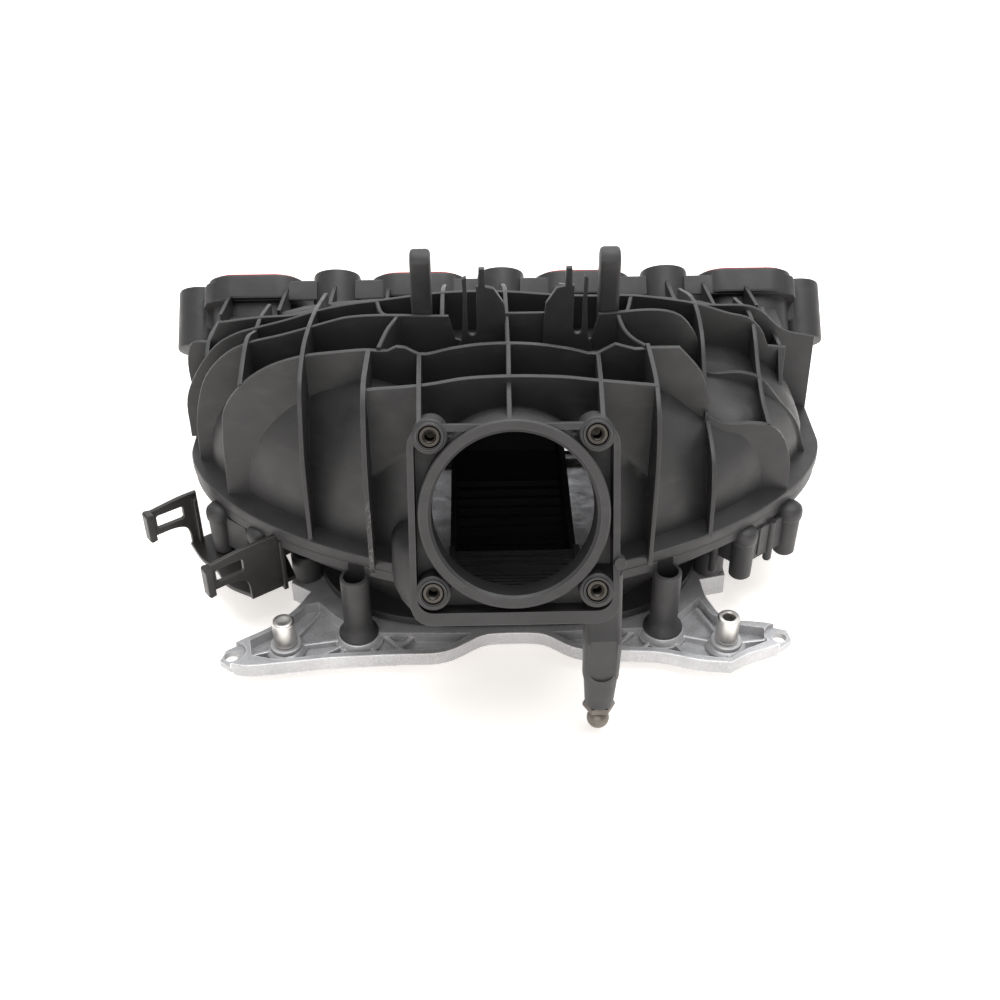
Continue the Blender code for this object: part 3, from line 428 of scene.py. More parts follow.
def turned(profile, centre=(0.0, 0.0), placement=WORLD, sides=48):
    """A solid of revolution from (radius, height) pairs, low to high."""
    points = []
    rings = []
    for radius, height in profile:
        if radius == 0:
            rings.append([len(points)] * sides)
            points.append((*centre, height))
        else:
            rings.append([len(points) + i for i in range(sides)])
            points += [(x, y, height) for x, y in circle(radius, centre, sides)]
    faces = []
    for lower, upper in zip(rings, rings[1:]):
        for i in range(sides):
            j = (i + 1) % sides
            faces.append(tuple(dict.fromkeys((lower[i], lower[j], upper[j], upper[i]))))
    if profile[0][0] > 0:
        faces.append(tuple(reversed(rings[0])))
    if profile[-1][0] > 0:
        faces.append(tuple(rings[-1]))
    return add_object("solid", points, faces, placement)


def loft(rings):
    """A closed solid through matching rings of 3-D points."""
    count = len(rings[0])
    points = [point for ring in rings for point in ring]
    faces = []
    for k in range(len(rings) - 1):
        for i in range(count):
            j = (i + 1) % count
            faces.append((k * count + j, k * count + i, (k + 1) * count + i, (k + 1) * count + j))
    faces.append(tuple(range(count)))
    faces.append(tuple(reversed(range(len(points) - count, len(points)))))
    return add_object("solid", points, faces)


def band(outer, inner, low, high, placement=WORLD):
    """A closed band between two matching outlines, with softened edges."""
    profile = ((0, 0.2), (0, 0.8), (0.14, 1), (0.86, 1), (1, 0.8), (1, 0.2), (0.86, 0), (0.14, 0))
    count = len(outer)
    points = []
    for part, level in profile:
        points += [(ox + (ix - ox) * part, oy + (iy - oy) * part, low + (high - low) * level)
                   for (ox, oy), (ix, iy) in zip(outer, inner)]
    faces = []
    for k in range(len(profile)):
        following = (k + 1) % len(profile)
        for i in range(count):
            j = (i + 1) % count
            faces.append((k * count + i, k * count + j, following * count + j, following * count + i))
    return add_object("solid", points, faces, placement)


def rib_across(crest, foot, y, thickness=RIB, edge=0.5):
    """A rib in a plane of constant y under a smooth crest of (x, z) points."""
    outline = smooth(crest) + [(crest[-1][0], foot), (crest[0][0], foot)]
    return prism(outline, -y - thickness / 2, -y + thickness / 2, ALONG_Y, edge)


def rib_along(crest, foot, x, thickness=RIB, edge=0.5):
    """A rib in a plane of constant x under a smooth crest of (y, z) points."""
    outline = smooth(crest) + [(crest[-1][0], foot), (crest[0][0], foot)]
    return prism(outline, x - thickness / 2, x + thickness / 2, ALONG_X, edge)


def winding_rib(path, foot, thickness=RIB):
    """A rib that follows (x, y, z) crest points in plan and height."""
    crest = [Vector(p) for p in smooth(path, 2.5)]
    half = thickness / 2
    section = ((-half, None), (-half, -0.5), (-half + 0.4, 0.0), (half - 0.4, 0.0), (half, -0.5), (half, None))
    rings = []
    for k, point in enumerate(crest):
        ahead = crest[min(k + 1, len(crest) - 1)] - crest[max(k - 1, 0)]
        side = Vector((ahead.y, -ahead.x, 0)).normalized()
        rings.append([point + side * across + Vector((0, 0, foot - point.z if up is None else up))
                      for across, up in section])
    return loft(rings)


def link_rib(start, end, low, high, width=RIB, edge=0.4):
    """A straight upright wall between two points of the plan."""
    direction = Vector((end[0] - start[0], end[1] - start[1], 0))
    place = frame_from((*start, 0), direction, (0, 0, 1))
    outline = [(0, low), (direction.length, low), (direction.length, high), (0, high)]
    return prism(outline, -width / 2, width / 2, place, edge)


def boolean(base, operands, operation):
    """Join the operands to the base, or cut them out of it, and delete them."""
    if not operands:
        return
    group = bpy.data.collections.new("operands")
    bpy.context.scene.collection.children.link(group)
    for operand in operands:
        group.objects.link(operand)
    modifier = base.modifiers.new("boolean", "BOOLEAN")
    modifier.operation = operation
    modifier.operand_type = "COLLECTION"
    modifier.collection = group
    modifier.solver = "EXACT"
    graph = bpy.context.evaluated_depsgraph_get()
    result = bpy.data.meshes.new_from_object(base.evaluated_get(graph))
    base.modifiers.clear()
    surface = bmesh.new()
    surface.from_mesh(result)
    bmesh.ops.remove_doubles(surface, verts=surface.verts, dist=WELD)
    bmesh.ops.dissolve_degenerate(surface, edges=surface.edges, dist=WELD)
    surface.to_mesh(result)
    surface.free()
    base.data = result
    for operand in operands:
        bpy.data.objects.remove(operand)
    bpy.data.collections.remove(group)


def finish_piece(node, base, slot, adds=(), cuts=(), smooth_angle=38.0):
    """Make a solid the fine piece that stands for one CAD node."""
    boolean(base, list(adds), "UNION")
    boolean(base, list(cuts), "DIFFERENCE")
    base.name = f"fine_{node}"
    base.data.name = base.name
    base.data.materials.clear()
    base.data.materials.append(LOOKS[slot])
    base.data.shade_smooth()
    base.data.set_sharp_from_angle(angle=math.radians(smooth_angle))
    weighted = base.modifiers.new("weighted", "WEIGHTED_NORMAL")
    weighted.keep_sharp = True
    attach(base, "root")
    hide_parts(node)
    return base


LOOKS = make_looks()


# ---------------------------------------------------------------- plenum roof

def roof_rise(x, y):
    """How far the roof's middle stands over the rim, with its fuller and flatter shoulders."""
    rise = DOME_HEIGHT - DOME_FALL * max(y, 0.0)
    beside_throttle = math.exp(-((abs(x) - 50) / 25) ** 2) * ease((-y - 35) / 35)
    left_front = ease((-x - 45) / 20) * ease((-y - 15) / 25)
    right_corner = ease((x - 98) / 18) * ease((-y - 20) / 20)
    right_side = ease((x - 70) / 25) * (1 - right_corner) * (1 - 0.45 * ease((y + 5) / 20))
    return rise + 16 * beside_throttle + 8 * left_front - 11 * right_side


def dome(inset, back, skirt, steps=72):
    """The domed body, closed, set in by the wall thickness given."""
    half_width = DOME_PLAN[0] - inset
    stations = [((0.0, back * k / 6), (half_width, back * k / 6)) for k in (6, 5, 4, 3, 2, 1)]
    stations += [((0.0, 0.0), point) for point in half_oval(half_width, DOME_PLAN[1] - inset, 1.6, steps)]
    stations += [((0.0, back * k / 6), (-half_width, back * k / 6)) for k in (1, 2, 3, 4, 5, 6)]
    reaches = [0.0, 0.2, 0.35, 0.47, 0.57, 0.65, 0.72, 0.78, 0.83, 0.875, 0.91, 0.94, 0.962, 0.98, 0.992, 1.0]
    index = {}
    points = []

    def vertex(x, y, z):
        key = (round(x, 4), round(y, 4), round(z, 4))
        if key not in index:
            index[key] = len(points)
            points.append(key)
        return index[key]

    grid = []
    for (sx, sy), (ex, ey) in stations:
        row = []
        for reach in reaches:
            x = sx + (ex - sx) * reach
            y = sy + (ey - sy) * reach
            fullness = math.sqrt(max(0.0, 1 - reach ** DOME_POWER))
            row.append(vertex(x, y, RIM_TOP + (roof_rise(x, y) - inset) * fullness))
        row.append(vertex(ex, ey, skirt))
        grid.append(row)
    faces = []
    for row, following in zip(grid, grid[1:]):
        for k in range(len(row) - 1):
            corners = dict.fromkeys((row[k], row[k + 1], following[k + 1], following[k]))
            if len(corners) > 2:
                faces.append(tuple(corners))
    faces.append(tuple(row[-1] for row in reversed(grid)))
    faces.append(tuple(reversed(grid[0])) + tuple(grid[-1][1:]))
    return add_object("dome", points, faces)


RIB_A = [(-135, 55), (-134, 80), (-133, 94), (-131, 106), (-122, 119), (-110, 128), (-93, 134), (-77, 136),
         (-63, 137), (-54, 136.5), (-50, 138.5), (-46, 138), (-40, 134.5), (-26, 137), (-13, 139), (0, 139.4),
         (14, 138.5), (28, 136), (40, 133.5), (44, 136), (48, 138.3), (52, 137), (57, 135.5), (64, 136),
         (77, 136), (85, 127), (88, 123), (93, 108)]
RIB_A_FAR = [(91, 103), (97, 98), (102, 96), (112, 96), (122, 94.5), (128, 90), (132, 82), (134.5, 72),
             (135, 57)]
RIB_B_LEFT = [(-153, 58), (-152, 78), (-149, 93), (-144, 106), (-132, 119), (-122, 124), (-106, 128),
              (-92, 132), (-82, 135), (-74, 137), (-27, 137), (-24, 125), (-19, 123)]
RIB_B_MIDDLE = [(-3, 138), (19, 138)]
RIB_B_RIGHT = [(33, 122), (40, 124), (43, 137), (75, 138), (82, 135), (85, 132), (91, 122), (94, 110)]
RIB_B_FAR = [(93, 108), (98, 105), (112, 105), (122, 102), (134, 88), (143, 77), (150, 58)]
RIB_C = [(-162, 58), (-161, 78), (-155, 92), (-142, 109), (-132, 115), (-122, 118), (-107, 122), (-91, 127),
         (-77, 130), (-62, 132), (-47, 134), (-29, 136), (0, 136), (23, 134), (44, 133), (61, 133),
         (77, 131), (93, 128), (111, 122), (119, 120), (126, 114), (131, 104), (140, 103), (141, 58)]
RIB_D_LEFT = [(-160, 58), (-159, 100), (-157, 102), (-149, 102), (-143, 113), (-123, 115.5), (-102, 117),
              (-92, 120)]
RIB_D_RIGHT = [(92, 120), (103, 119), (126, 117), (142, 104), (158, 100), (159, 58)]
RIB_BAR = [(-62, 138), (-36, 140), (-18, 143), (21, 143), (37, 141), (63, 138)]
BAR_Y = -75.0
RIB_L3 = [(-40, 137), (-60, 139.5), (-75, 140), (-84, 134), (-90, 125), (-95, 112), (-97, 98), (-97.5, 78),
          (-98, 54)]
RIB_R1 = [(-40, 138), (-60, 139), (-75, 138), (-88, 130), (-95, 113), (-96.5, 90), (-96.5, 70), (-97, 56)]
RIB_L2 = [(61, 112), (15, 127), (-10, 133), (-40, 136), (-60, 130), (-68, 116), (-74, 101), (-76, 82),
          (-77, 56)]
RIB_R2 = [(61, 112), (15, 128), (-10, 125), (-25, 113), (-42, 99), (-58, 96), (-68, 91), (-74, 80),
          (-77, 64), (-78, 56)]
RIBS_ALONG = [
    (-149, [(61, 97), (24, 102), (12, 92)]),
    (-122, [(61, 106), (30, 115), (15, 117), (-10, 126), (-40, 120)]),
    (-30, [(61, 116), (15, 135.5), (-10, 137)]),
    (0, [(61, 116), (15, 136), (-10, 137), (-40, 134)]),
    (30, [(61, 116), (15, 134), (-10, 122)]),
    (122, [(61, 106), (15, 117), (-10, 103), (-25, 97), (-42, 95)]),
    (137, [(61, 100), (15, 104), (0, 84), (-6, 62)]),
]
WINDING_RIBS = [
    [(-62, 15, 132), (-59, 6, 130), (-53, 1, 131), (-51, -10, 137), (-52.5, -18, 138.5), (-54.5, -25, 139),
     (-58, -40, 138)],
    [(61, 15, 133), (58, 6, 129), (53, 0, 130), (52, -10, 137), (54, -18, 134), (57, -27, 134), (62, -40, 137)],
]
GRID_RIBS = [(-40, -37.8, 134.5), (0, -1.5, 139.4), (40.5, 36.1, 133.5)]
HOUSING_EDGE = (-113.0, 144.5)


def grid_rib(x_back, x_front, z_back):
    """A rib from rib A forward over the bar to the housing's top edge."""
    place = frame_from((x_back, -40, 0), (x_front - x_back, HOUSING_EDGE[0] + 40, 0), (0, 0, 1))
    reach = -40 - HOUSING_EDGE[0]
    crest = [(0, z_back), (-40 - BAR_Y, 141), (reach, HOUSING_EDGE[1])]
    return prism(crest + [(reach, 60), (0, 60)], -RIB / 2, RIB / 2, place, 0.5)


def throttle_box(half_width, top, bottom, low, high, radius=9.0, edge=0.0):
    outline = rounded_box(2 * half_width, top - bottom, radius, (0.0, (top + bottom) / 2))
    return prism(outline, low, high, THROTTLE, edge)


def skirt():
    """The flared lower back of the throttle housing."""
    rings = []
    for depth, left, right in ((-5, 43, 43), (-14, 45, 43), (-26, 49, 44), (-40, 52, 46), (-58, 54, 48)):
        outline = rounded_box(left + right, 30, 8, ((right - left) / 2, HOUSING_BOTTOM + 15 + 0.05 * -depth))
        rings.append([THROTTLE @ Vector((x, y, depth)) for x, y in outline])
    return loft(rings)


def cover_lug(x):
    """An upright plate with a round top that locates the engine cover."""
    outline = [(-8.5, 100), (4.5, 100), (4, 156)]
    outline += [(-2 + 6 * math.cos(math.radians(a)), 160.6 + 6 * math.sin(math.radians(a)))
                for a in range(10, 180, 20)]
    outline.append((-8, 156))
    return prism(outline, x - 4.8, x + 4.8, ALONG_X, 1.8)


def cable_clip(mirrored):
    """A slotted upright plate with a prong on top and a thin retaining finger beside it."""
    outline = [(-23, 100), (-23, 123), (-21, 126), (-20, 146), (-20.4, 158), (-18.4, 159), (-18, 132)]
    outline += [(-16 + 2 * math.cos(math.radians(a)), 131 + 2 * math.sin(math.radians(a)))
                for a in (180, 210, 240, 270, 300, 330, 360)]
    outline += [(-14, 154), (-13, 154.3), (-12.8, 163), (-10, 163), (-9.8, 154), (-6, 153), (-1, 145),
                (0, 134), (0, 100)]
    if mirrored:
        outline = [(17 - x, z) for x, z in outline]
    return prism(outline, 12.4, 15.2, ALONG_Y, 0.4)


STUD = (37.0, -143.0)
STUD_TOP = 33.0
STUD_SHANK = 3.0


def stud_holder():
    """The post below the right corner of the throttle housing, narrower towards its foot."""
    rings = []
    for z, width, depth, y in ((18, 12.5, 12.5, STUD[1]), (24, 13.3, 13.3, STUD[1]), (34, 14.6, 14, STUD[1]),
                               (35, 15.6, 14.6, STUD[1]), (57, 16, 15, STUD[1] + 0.6),
                               (62, 16, 14, STUD[1] + 5), (84, 16, 18, STUD[1] + 14)):
        rings.append([(px, py, z) for px, py in rounded_box(width, depth, 6 if z < 50 else 4, (STUD[0], y))])
    return loft(rings)


def stud_pad():
    """The shallow recess with a round lower end in the post's front."""
    outline = [(-5.8, 22), (5.8, 22), (5.8, 0)]
    outline += [(5.8 * math.cos(math.radians(a)), 5.8 * math.sin(math.radians(a))) for a in range(-15, -180, -15)]
    outline.append((-5.8, 0))
    place = frame_from((STUD[0], STUD[1] - 6.2, 42), (1, 0, 0), (0, 0.03, 1))
    return prism(outline, 0.0, 8, place)


def make_upper_shell():
    base = prism(plan_outline(RIM_PLAN, PLENUM_BACK), RIM_JOINT + GAP / 2, RIM_TOP, edge=1.1)
    adds = [dome(0.0, PLENUM_BACK - 0.1, RIM_JOINT + 1)]
    adds += [rib_across(RIB_A, 55, -40, 2.5), rib_across(RIB_A_FAR, 55, -42, 3.0)]
    adds += [rib_across(RIB_B_LEFT, 55, -10), rib_across(RIB_B_MIDDLE, 55, -10)]
    adds += [rib_across(RIB_B_RIGHT, 55, -10), rib_across(RIB_B_FAR, 55, -11, 3.0)]
    adds += [rib_across(RIB_C, 55, 15), rib_across(RIB_D_LEFT, 55, 30), rib_across(RIB_D_RIGHT, 55, 30)]
    adds += [rib_across(RIB_BAR, 60, BAR_Y, 2.5)]
    adds += [rib_along(RIB_L3, 55, -62.5), rib_along(RIB_R1, 56, 62.5)]
    adds += [rib_along(RIB_L2, 56, -92), rib_along(RIB_R2, 56, 92.5)]
    adds += [rib_along(crest, 56, x) for x, crest in RIBS_ALONG]
    adds += [winding_rib(path, 60) for path in WINDING_RIBS]
    adds += [grid_rib(*row) for row in GRID_RIBS]
    adds += [cover_lug(-39.5), cover_lug(48), cable_clip(False), cable_clip(True)]
    adds.append(throttle_box(HOUSING_HALF_WIDTH, HOUSING_TOP, HOUSING_BOTTOM, -6.5, -2, edge=0.6))
    adds.append(throttle_box(HOUSING_HALF_WIDTH - 1.2, 30, HOUSING_BOTTOM + 1, -22, -5, 8))
    adds.append(skirt())
    boolean(base, adds, "UNION")
    boolean(base, [throttle_box(HOUSING_HALF_WIDTH - HOUSING_WALL, HOUSING_TOP - HOUSING_WALL,
                                HOUSING_BOTTOM + 5.5, -POCKET_DEPTH, 5, 6.5)], "DIFFERENCE")
    rings = [turned([(THROTTLE_RING - 1, -NECK_DEPTH), (THROTTLE_RING, -NECK_DEPTH + 1),
                     (THROTTLE_RING, -0.6), (THROTTLE_RING - 0.6, 0)], placement=THROTTLE, sides=96)]
    for centre in THROTTLE_SCREWS:
        rings.append(turned([(THROTTLE_BOSS, -POCKET_DEPTH - 4), (THROTTLE_BOSS, -1.9), (THROTTLE_BOSS - 0.5, -1.4),
                             (6.1, -1.3), (5.9, -0.4), (5.6, -0.1), (5.2, -0.1), (5.0, -1.0), (4.9, -1.0)],
                            centre, THROTTLE))
    rings.append(stud_holder())
    rings.append(rod(2.6, -8, 1.2, (42.8, -20.7), THROTTLE, 0.8))
    boolean(base, rings, "UNION")
    cuts = [dome(WALL, PLENUM_BACK + 6, RIM_BOTTOM - 20)]
    cuts.append(turned([(THROTTLE_BORE, -NECK_DEPTH - 22), (THROTTLE_BORE, -1.6), (THROTTLE_BORE + 1.2, -0.4),
                        (THROTTLE_BORE + 1.6, 5)], placement=THROTTLE, sides=96))
    cuts.append(throttle_box(CHAMBER_HALF_WIDTH, HOUSING_SHOULDER - WALL, CHAMBER_BOTTOM, -NECK_DEPTH - 22,
                             -POCKET_DEPTH - WALL, 7))
    cuts += [rod(INSERT_RADIUS + GAP, -INSERT_LENGTH - 1.5, 3, centre, THROTTLE) for centre in THROTTLE_SCREWS]
    cuts.append(rod(STUD_SHANK + GAP, 14, STUD_TOP + 1, STUD))
    cuts.append(stud_pad())
    cuts.append(prism([(-200, -106), (200, -106), (200, 90), (-200, 90)], 0, RIM_JOINT + GAP / 2))
    return finish_piece("upper_shell", base, "black_plastic", (), cuts)


# ---------------------------------------------------------------- stud, inserts

def make_stud():
    ball_z = 7.5
    profile = [(0, ball_z - 5)]
    for degrees in range(-80, 61, 7):
        angle = math.radians(degrees)
        profile.append((5 * math.cos(angle), ball_z + 5 * math.sin(angle)))
    profile += [(2.5, ball_z + 5), (2.7, 13.2), (STUD_SHANK, 13.8), (STUD_SHANK, STUD_TOP), (0, STUD_TOP)]
    finish_piece("ball_stud", turned(profile, STUD), "dark_steel")
    profile = [(6.2, 14.4), (7.0, 14.9), (7.2, 15.4), (7.2, 16.8), (6.6, 17.6)]
    collar = turned(profile, STUD, sides=6)
    finish_piece("stud_hex_collar", collar, "dark_steel", (), [rod(STUD_SHANK + GAP, 10, 20, STUD)])


def make_insert(number, centre):
    profile = [(INSERT_RADIUS, -INSERT_LENGTH - 1), (INSERT_RADIUS, -1.7), (INSERT_RADIUS - 0.4, -1.3)]
    cut = [(0, -INSERT_LENGTH + 1), (INSERT_BORE - 0.5, -INSERT_LENGTH + 1.4)]
    for turn in range(14):
        z = -INSERT_LENGTH + 1.8 + 0.8 * turn
        cut += [(INSERT_BORE - 0.5, z), (INSERT_BORE - 0.05, z + 0.4)]
    cut += [(INSERT_BORE, -1.8), (INSERT_BORE + 0.8, 0)]
    finish_piece(f"throttle_insert_{number}", turned(profile, centre, THROTTLE), "brass", (),
                 [turned(cut, centre, THROTTLE)])


# ---------------------------------------------------------------- lower shell

TOP_SCREWS = [(-72, -90), (72, -90)]
BASE_SCREWS = [(-100, -47), (100, -47), (-108, 40), (108, 40)]
PEGS = [(-141, -39), (-119, -57), (112, -64), (137, -46)]


def lower_body(inset, bottom, top):
    back = PLENUM_BACK - 0.1 if inset == 0 else PLENUM_BACK + 6
    levels = [(bottom, *LOWER_PLAN), (16, 98, 88.2), (20, 102, 89), (26, 112, 90), (31, 124, 91.5),
              (36, 136, 93), (42, 146, 94.6), (top, *DOME_PLAN)]
    rings = []
    for z, half_width, depth in levels:
        rings.append([(x, y, z) for x, y in plan_outline((half_width - inset, depth - inset), back, 1.9)])
    return loft(rings)


def peg(x, y, low):
    """A blind peg with a domed cap that stands a little proud of its shank."""
    return turned([(4.6, low), (5.3, low + 0.8), (5.7, 43), (6.2, 43.6), (6.4, 45), (6.4, 47), (6.0, 48.8),
                   (4.8, 50.1), (2.5, 50.9), (0, 51.1)], (x, y))


def make_lower_shell():
    top = RIM_JOINT - GAP / 2
    base = prism(plan_outline(grown(RIM_PLAN, -0.8), PLENUM_BACK), RIM_BOTTOM, top, edge=0.9)
    adds = [lower_body(0, LOWER_BOTTOM, top - 2)]
    adds.append(prism(plan_outline(grown(LOWER_PLAN, 1), PLENUM_BACK - 0.2, 3.2), LOWER_BOTTOM, 17, edge=0.8))
    for centre in TOP_SCREWS:
        adds.append(turned([(9.4, LOWER_BOTTOM), (9.2, 13.6), (7.6, 15), (6.8, 17.5), (6.6, 20), (6.6, 46.2),
                            (6.0, 46.8)], centre))
    for centre in BASE_SCREWS:
        adds.append(turned([(7.5, LOWER_BOTTOM), (7.5, 26), (6.5, 27)], centre))
    for (x, y), low in zip(PEGS, (24, 24, 22, 22)):
        adds.append(peg(x, y, low))
    for first, second in ((PEGS[0], PEGS[1]), (PEGS[2], PEGS[3])):
        adds.append(link_rib(first, second, 28, 46, 2.4))
        middle = ((first[0] + second[0]) / 2, (first[1] + second[1]) / 2)
        inner = (middle[0] * 0.82, middle[1] * 0.7)
        adds.append(link_rib(middle, inner, 30, 46.5, 13))
        for x, y in (first, second):
            adds.append(link_rib((x, y), (x * 0.88, y * 0.8), 29, 46.5, 6.5, 0.8))
    for x, y in ((99, -62), (127, -54)):
        adds.append(turned([(1.6, 23), (2.1, 23.8), (2.1, 46.5)], (x, y)))
    cuts = [lower_body(WALL, LOWER_BOTTOM - 5, top + 4)]
    for centre in TOP_SCREWS:
        cuts.append(rod(SCREW_RADIUS + GAP, 0, 70, centre))
        cuts.append(rod(SCREW_HEAD + 0.6, 19, 70, centre))
        front = frame_from((centre[0], centre[1] - 9, 47.5), (1, 0, 0), (0, 1, 0.45))
        cuts.append(prism([(-8, -6), (8, -6), (8, 9), (-8, 9)], 0, 6, front))
    cuts += [rod(SCREW_RADIUS + GAP, 0, BASE_SCREW_TOP + 0.5, centre) for centre in BASE_SCREWS]
    finish_piece("lower_shell", base, "black_plastic", adds, cuts)


# ---------------------------------------------------------------- runner shell

def runner_solid(x, width, height, overrun, steps=12):
    """A curved tube from the plenum's back to a port, closed at both ends."""
    level = 39.0
    start = Vector((0.0, PLENUM_BACK + GAP + 0.5 - overrun, level))
    normal = FLANGE.to_3x3() @ Vector((0, 0, 1))
    end = FLANGE @ Vector((0.0, PORT_CENTRE_S, 0.0))
    bend = (Vector((0, PLENUM_BACK + 2, level)), Vector((0, 74.0, level)), end - normal * 12)
    path = [start]
    for step in range(1, steps):
        t = step / steps
        path.append((1 - t) ** 2 * bend[0] + 2 * t * (1 - t) * bend[1] + t * t * bend[2])
    path.append(end + normal * overrun)
    section = rounded_box(width, height, min(width, height) * 0.42)
    rings = []
    for k, centre in enumerate(path):
        tangent = (path[min(k + 1, len(path) - 1)] - path[max(k - 1, 0)]).normalized()
        if k == 0:
            tangent = Vector((0, 1, 0))
        if k == len(path) - 1:
            tangent = normal
        up = Vector((1, 0, 0)).cross(tangent)
        rings.append([Vector((x + u, 0, 0)) + centre + up * v for u, v in section])
    return loft(rings)


def end_wall_outline():
    """The back wall's outline, just inside the roof and above the lower shell's floor."""
    height = DOME_HEIGHT - DOME_FALL * PLENUM_BACK
    roof = [(DOME_PLAN[0] * reach, RIM_TOP + height * math.sqrt(max(0, 1 - reach ** DOME_POWER)))
            for reach in (1.0, 0.99, 0.97, 0.94, 0.9, 0.85, 0.78, 0.7, 0.58, 0.45)]
    side = RIM_PLAN[0]
    return roof + [(-x, z) for x, z in reversed(roof)] + [
        (-side, RIM_TOP), (-side, RIM_BOTTOM), (-136, 36), (-98, 13), (98, 13), (136, 36),
        (side, RIM_BOTTOM), (side, RIM_TOP)]


RUNNER_RIBS = [(-149, 93), (-118, 95), (-91, 98), (-62, 95), (-30, 95), (0, 98), (30, 95), (62, 95),
               (91, 98), (112, 95), (135, 94)]


def make_runner_shell():
    wall_y = PLENUM_BACK + GAP
    base = prism(end_wall_outline(), -wall_y - 4, -wall_y, ALONG_Y)
    outer_w = PORT_WIDTH + 2 * PORT_WALL
    outer_h = PORT_HEIGHT + 2 * PORT_WALL
    collar = 2 * PORT_CENTRE_S
    adds = []
    for x in PORT_XS:
        adds.append(runner_solid(x, outer_w - 2, outer_h - 2, 0))
        adds.append(prism(rounded_box(outer_w, collar, 15, (x, PORT_CENTRE_S), 10), -14, 0, FLANGE, 1.6))
    plate = [(-166, 14), (-163, 6), (-158, 2.5), (158, 2.5), (163, 6), (166, 14), (165, 44), (158, 52),
             (-158, 52), (-165, 44)]
    adds.append(prism(plate, -14.5, -COLLAR_RISE, FLANGE, 1.0))
    for x, s in BOSSES:
        adds.append(rod(BOSS_RADIUS, -BOSS_LENGTH, 1.5, (x, s), FLANGE, 1.2, 56))
    for x in (-END_BOSS_X, END_BOSS_X):
        inner = math.copysign(150, x)
        adds.append(prism([(inner, 22), (x, 22), (x, 46), (inner, 46)], -24, -8, FLANGE, 1.5))
    for x, top in RUNNER_RIBS:
        outline = [(wall_y + 1, top + 6), (100, top), (107, 84), (84, 58), (wall_y + 1, 60)]
        adds.append(prism(outline, x - RIB / 2, x + RIB / 2, ALONG_X, 0.5))
    for z in (70, 84):
        outline = [(-150, z), (150, z), (150, z + RIB), (-150, z + RIB)]
        adds.append(prism(outline, -84, -wall_y - 1, ALONG_Y, 0.5))
    cuts = [runner_solid(x, PORT_WIDTH, PORT_HEIGHT, 8) for x in PORT_XS]
    for x in PORT_XS:
        outer = rounded_box(outer_w - 3, collar - 3, 14.5, (x, PORT_CENTRE_S))
        inner = rounded_box(outer_w - 3 - 2 * SEAL_WIDTH - 1, collar - 4 - 2 * SEAL_WIDTH, 12, (x, PORT_CENTRE_S))
        groove = prism(outer, -2.5, 4, FLANGE)
        boolean(groove, [prism(inner, -6, 6, FLANGE)], "DIFFERENCE")
        cuts.append(groove)
    for x, s in BOSSES:
        cuts.append(rod(SLEEVE_RADIUS + GAP, -BOSS_LENGTH - 20, 6, (x, s), FLANGE))
    finish_piece("runner_shell", base, "black_plastic", adds, cuts)


def make_port_seal(number, x):
    width = PORT_WIDTH + 2 * PORT_WALL - 3
    height = 2 * PORT_CENTRE_S - 3
    outer = rounded_box(width - 2 * GAP, height - 2 * GAP, 14.2, (x, PORT_CENTRE_S), 10)
    inner = rounded_box(width - 2 * SEAL_WIDTH - 1 + 2 * GAP, height - 1 - 2 * SEAL_WIDTH + 2 * GAP, 12.2,
                        (x, PORT_CENTRE_S), 10)
    finish_piece(f"port_seal_{number}", band(outer, inner, -2.2, 0.7, FLANGE), "red_seal")


def make_flange_sleeve(number, x, s):
    profile = [(SLEEVE_RADIUS - 0.4, -BOSS_LENGTH - 0.8), (SLEEVE_RADIUS, -BOSS_LENGTH - 0.4),
               (SLEEVE_RADIUS, 1.6), (SLEEVE_RADIUS - 0.4, 2.0)]
    bore = [(SLEEVE_BORE + 0.7, -BOSS_LENGTH - 2), (SLEEVE_BORE, -BOSS_LENGTH), (SLEEVE_BORE, 1.4),
            (SLEEVE_BORE + 1, 3)]
    finish_piece(f"flange_sleeve_{number}", turned(profile, (x, s), FLANGE), "zinc_steel", (),
                 [turned(bore, (x, s), FLANGE)])


def make_inlet_guide():
    """A ridged ramp between two walls that leads the air from the bore into the plenum."""
    under = [(45, 21), (20, 16.5), (-42, 16.5), (-68, 23), (-80, 40), (-86, 52.6), (-106, 56), (-128, 67.5)]
    ramp = smooth([(-128, 70.5), (-106, 59.5), (-86, 56), (-77, 43), (-64, 28), (-40, 20), (20, 20), (45, 24)])
    wall = smooth([(-128, 73), (-106, 63), (-86, 60), (-74, 48), (-60, 46), (30, 40), (45, 30)])
    base = prism(ramp + under, -27, 30, ALONG_X)
    adds = [prism(wall + under, -28, -25.5, ALONG_X), prism(wall + under, 28.5, 31, ALONG_X)]
    # Upright back wall at the ramp's far end: a dark sheet that stands in for the shade deep in the plenum behind
    # the bore.
    adds.append(prism([(42.5, 21), (45, 21), (45, 56), (42.5, 56)], -28, 31, ALONG_X))
    for k in range(8):
        y = -124 + 5 * k
        foot = 68 - 2.5 * k if k < 5 else 58 - 0.5 * (k - 5)
        adds.append(prism([(y, foot - 2), (y + 2.2, foot - 2.6), (y + 1.6, foot + 1.4), (y + 0.6, foot + 1.6)],
                          -26.5, 29.5, ALONG_X))
    for k in range(10):
        y = -58 + 8 * k
        crest = 28 if y < -50 else 22.4
        adds.append(prism([(y, 17), (y + 3, 17), (y + 2, crest), (y + 1, crest)], -26.5, 29.5, ALONG_X))
    finish_piece("inlet_guide", base, "duct_plastic", adds)


# ---------------------------------------------------------------- carrier plate

